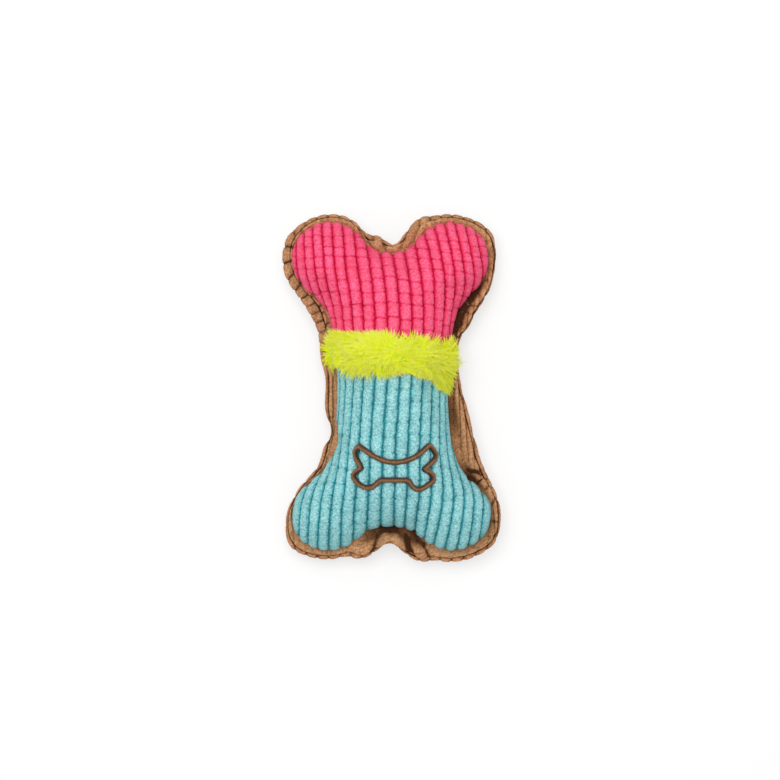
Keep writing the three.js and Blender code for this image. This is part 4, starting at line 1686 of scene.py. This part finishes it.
WAD_PLACES = ("waist", "upper_left", "upper_right", "lower_left", "lower_right")
fibre_wad("front_stuffing", [f"front_wad_{place}" for place in WAD_PLACES], "front", FOOT_ROOM)
fibre_wad("back_stuffing", [f"back_wad_{place}" for place in WAD_PLACES], "back")
core_stuffing = fibre_wad("core_stuffing", ["filling_core"], "back")
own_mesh(core_stuffing)


def squeaker_bulb():
    """The bellows of the squeaker, with a slot that leaves its neck free."""
    bulb = packed_shape("squeaker_bellows", ["squeaker_bulb"])
    corners = [
        (WAIST_SHIFT + x, y, NECK_HEIGHT + z)
        for x in (-SLOT_HALF, SLOT_HALF)
        for y in (-2 * SLOT_END - 5, -SLOT_END)
        for z in (-SLOT_END, SLOT_END)
    ]
    sides = [(0, 1, 3, 2), (4, 6, 7, 5), (0, 4, 5, 1), (2, 3, 7, 6), (0, 2, 6, 4), (1, 5, 7, 3)]
    slot = add_piece("neck_slot", np.array(corners), [np.array(sides)])
    cut = bulb.modifiers.new("slot", "BOOLEAN")
    cut.operation = "DIFFERENCE"
    cut.solver = "EXACT"
    cut.object = slot
    made_plain(bulb)
    bpy.data.objects.remove(slot)
    dress(bulb, CLEAR)
    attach(bulb, "back")
    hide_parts("squeaker_bulb")
    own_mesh(bulb)


def squeaker_neck():
    """The neck of the squeaker: a firm sleeve round the whistle, which goes down with it."""
    turn = -np.arange(NECK_SIDES)[:, None] * 2 * math.pi / NECK_SIDES
    along, radius = np.array(NECK_SECTION).T
    points = np.stack(
        [
            WAIST_SHIFT + radius * np.cos(turn),
            -along + 0 * turn,
            NECK_HEIGHT + radius * np.sin(turn),
        ],
        axis=-1,
    )
    neck = ring_piece("squeaker_neck", points, np.zeros(points.shape[:2]))
    dress(neck, CLEAR)
    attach(neck, "whistle")
    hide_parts("squeaker_bulb")


squeaker_bulb()
squeaker_neck()
for node, material in (("base", WHISTLE), ("clamp", WHISTLE), ("reed", REED)):
    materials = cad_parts[f"whistle_{node}"].data.materials
    materials.clear()
    materials.append(material)


# Studio


def floor():
    finish = Finish("floor")
    finish.set(roughness=0.9, base=grey(FLOOR_TONE))
    mesh = bpy.data.meshes.new("floor")
    corners = [(-1, -1), (1, -1), (1, 1), (-1, 1)]
    points = [(FLOOR_REACH * x, FLOOR_REACH * y, 0) for x, y in corners]
    mesh.from_pydata(points, [], [range(4)])
    plane = new_object("floor", mesh)
    path = finish.node("ShaderNodeLightPath").outputs
    seen = path["Is Camera Ray"]
    for kind in ("Is Glossy Ray", "Is Transmission Ray"):
        seen = finish.math("MAXIMUM", seen, path[kind])
    mix = finish.node(
        "ShaderNodeMixShader",
        Fac=finish.math("MULTIPLY", seen, FLOOR_GLOW),
        _1=finish.shader.outputs[0],
        _2=finish.node("ShaderNodeEmission").outputs[0],
    )
    surface = finish.tree.nodes["Material Output"].inputs["Surface"]
    finish.tree.links.new(mix.outputs[0], surface)
    mesh.materials.append(finish.material)


def studio():
    scene = bpy.context.scene
    floor()
    light = bpy.data.lights.new("key", "AREA")
    light.size = LAMP_SIZE
    light.energy = LAMP_POWER
    lamp = new_object("key", light)
    lamp.location = LAMP_PLACE
    lamp.rotation_euler = (-Vector(LAMP_PLACE)).to_track_quat("-Z", "Y").to_euler()
    scene.world = bpy.data.worlds.new("studio")
    scene.world.use_nodes = True
    sky = scene.world.node_tree.nodes["Background"]
    sky.inputs["Color"].default_value = grey(1.0)
    sky.inputs["Strength"].default_value = SKY_LIGHT
    camera = bpy.data.cameras.new("camera")
    camera.lens = CAMERA_LENS
    camera.sensor_width = CAMERA_SENSOR
    scene.camera = new_object("camera", camera)
    scene.camera.location = CAMERA_PLACE
    scene.view_settings.view_transform = "Standard"


studio()


# How the pieces move

for piece in (front_upper, front_lower, *fur_pieces):
    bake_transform(piece)
for piece in fur_pieces:
    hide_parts("fur_band")
for piece in embroidery_pieces:
    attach(piece, "front")
    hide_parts("embroidered_bone")
for piece in (border_front, border_back, back_cover):
    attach(piece, "back")
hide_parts("front_upper_panel")
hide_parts("front_lower_panel")
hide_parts("front_border")
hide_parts("back_panel")
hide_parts("back_panel")

bpy.context.view_layer.update()
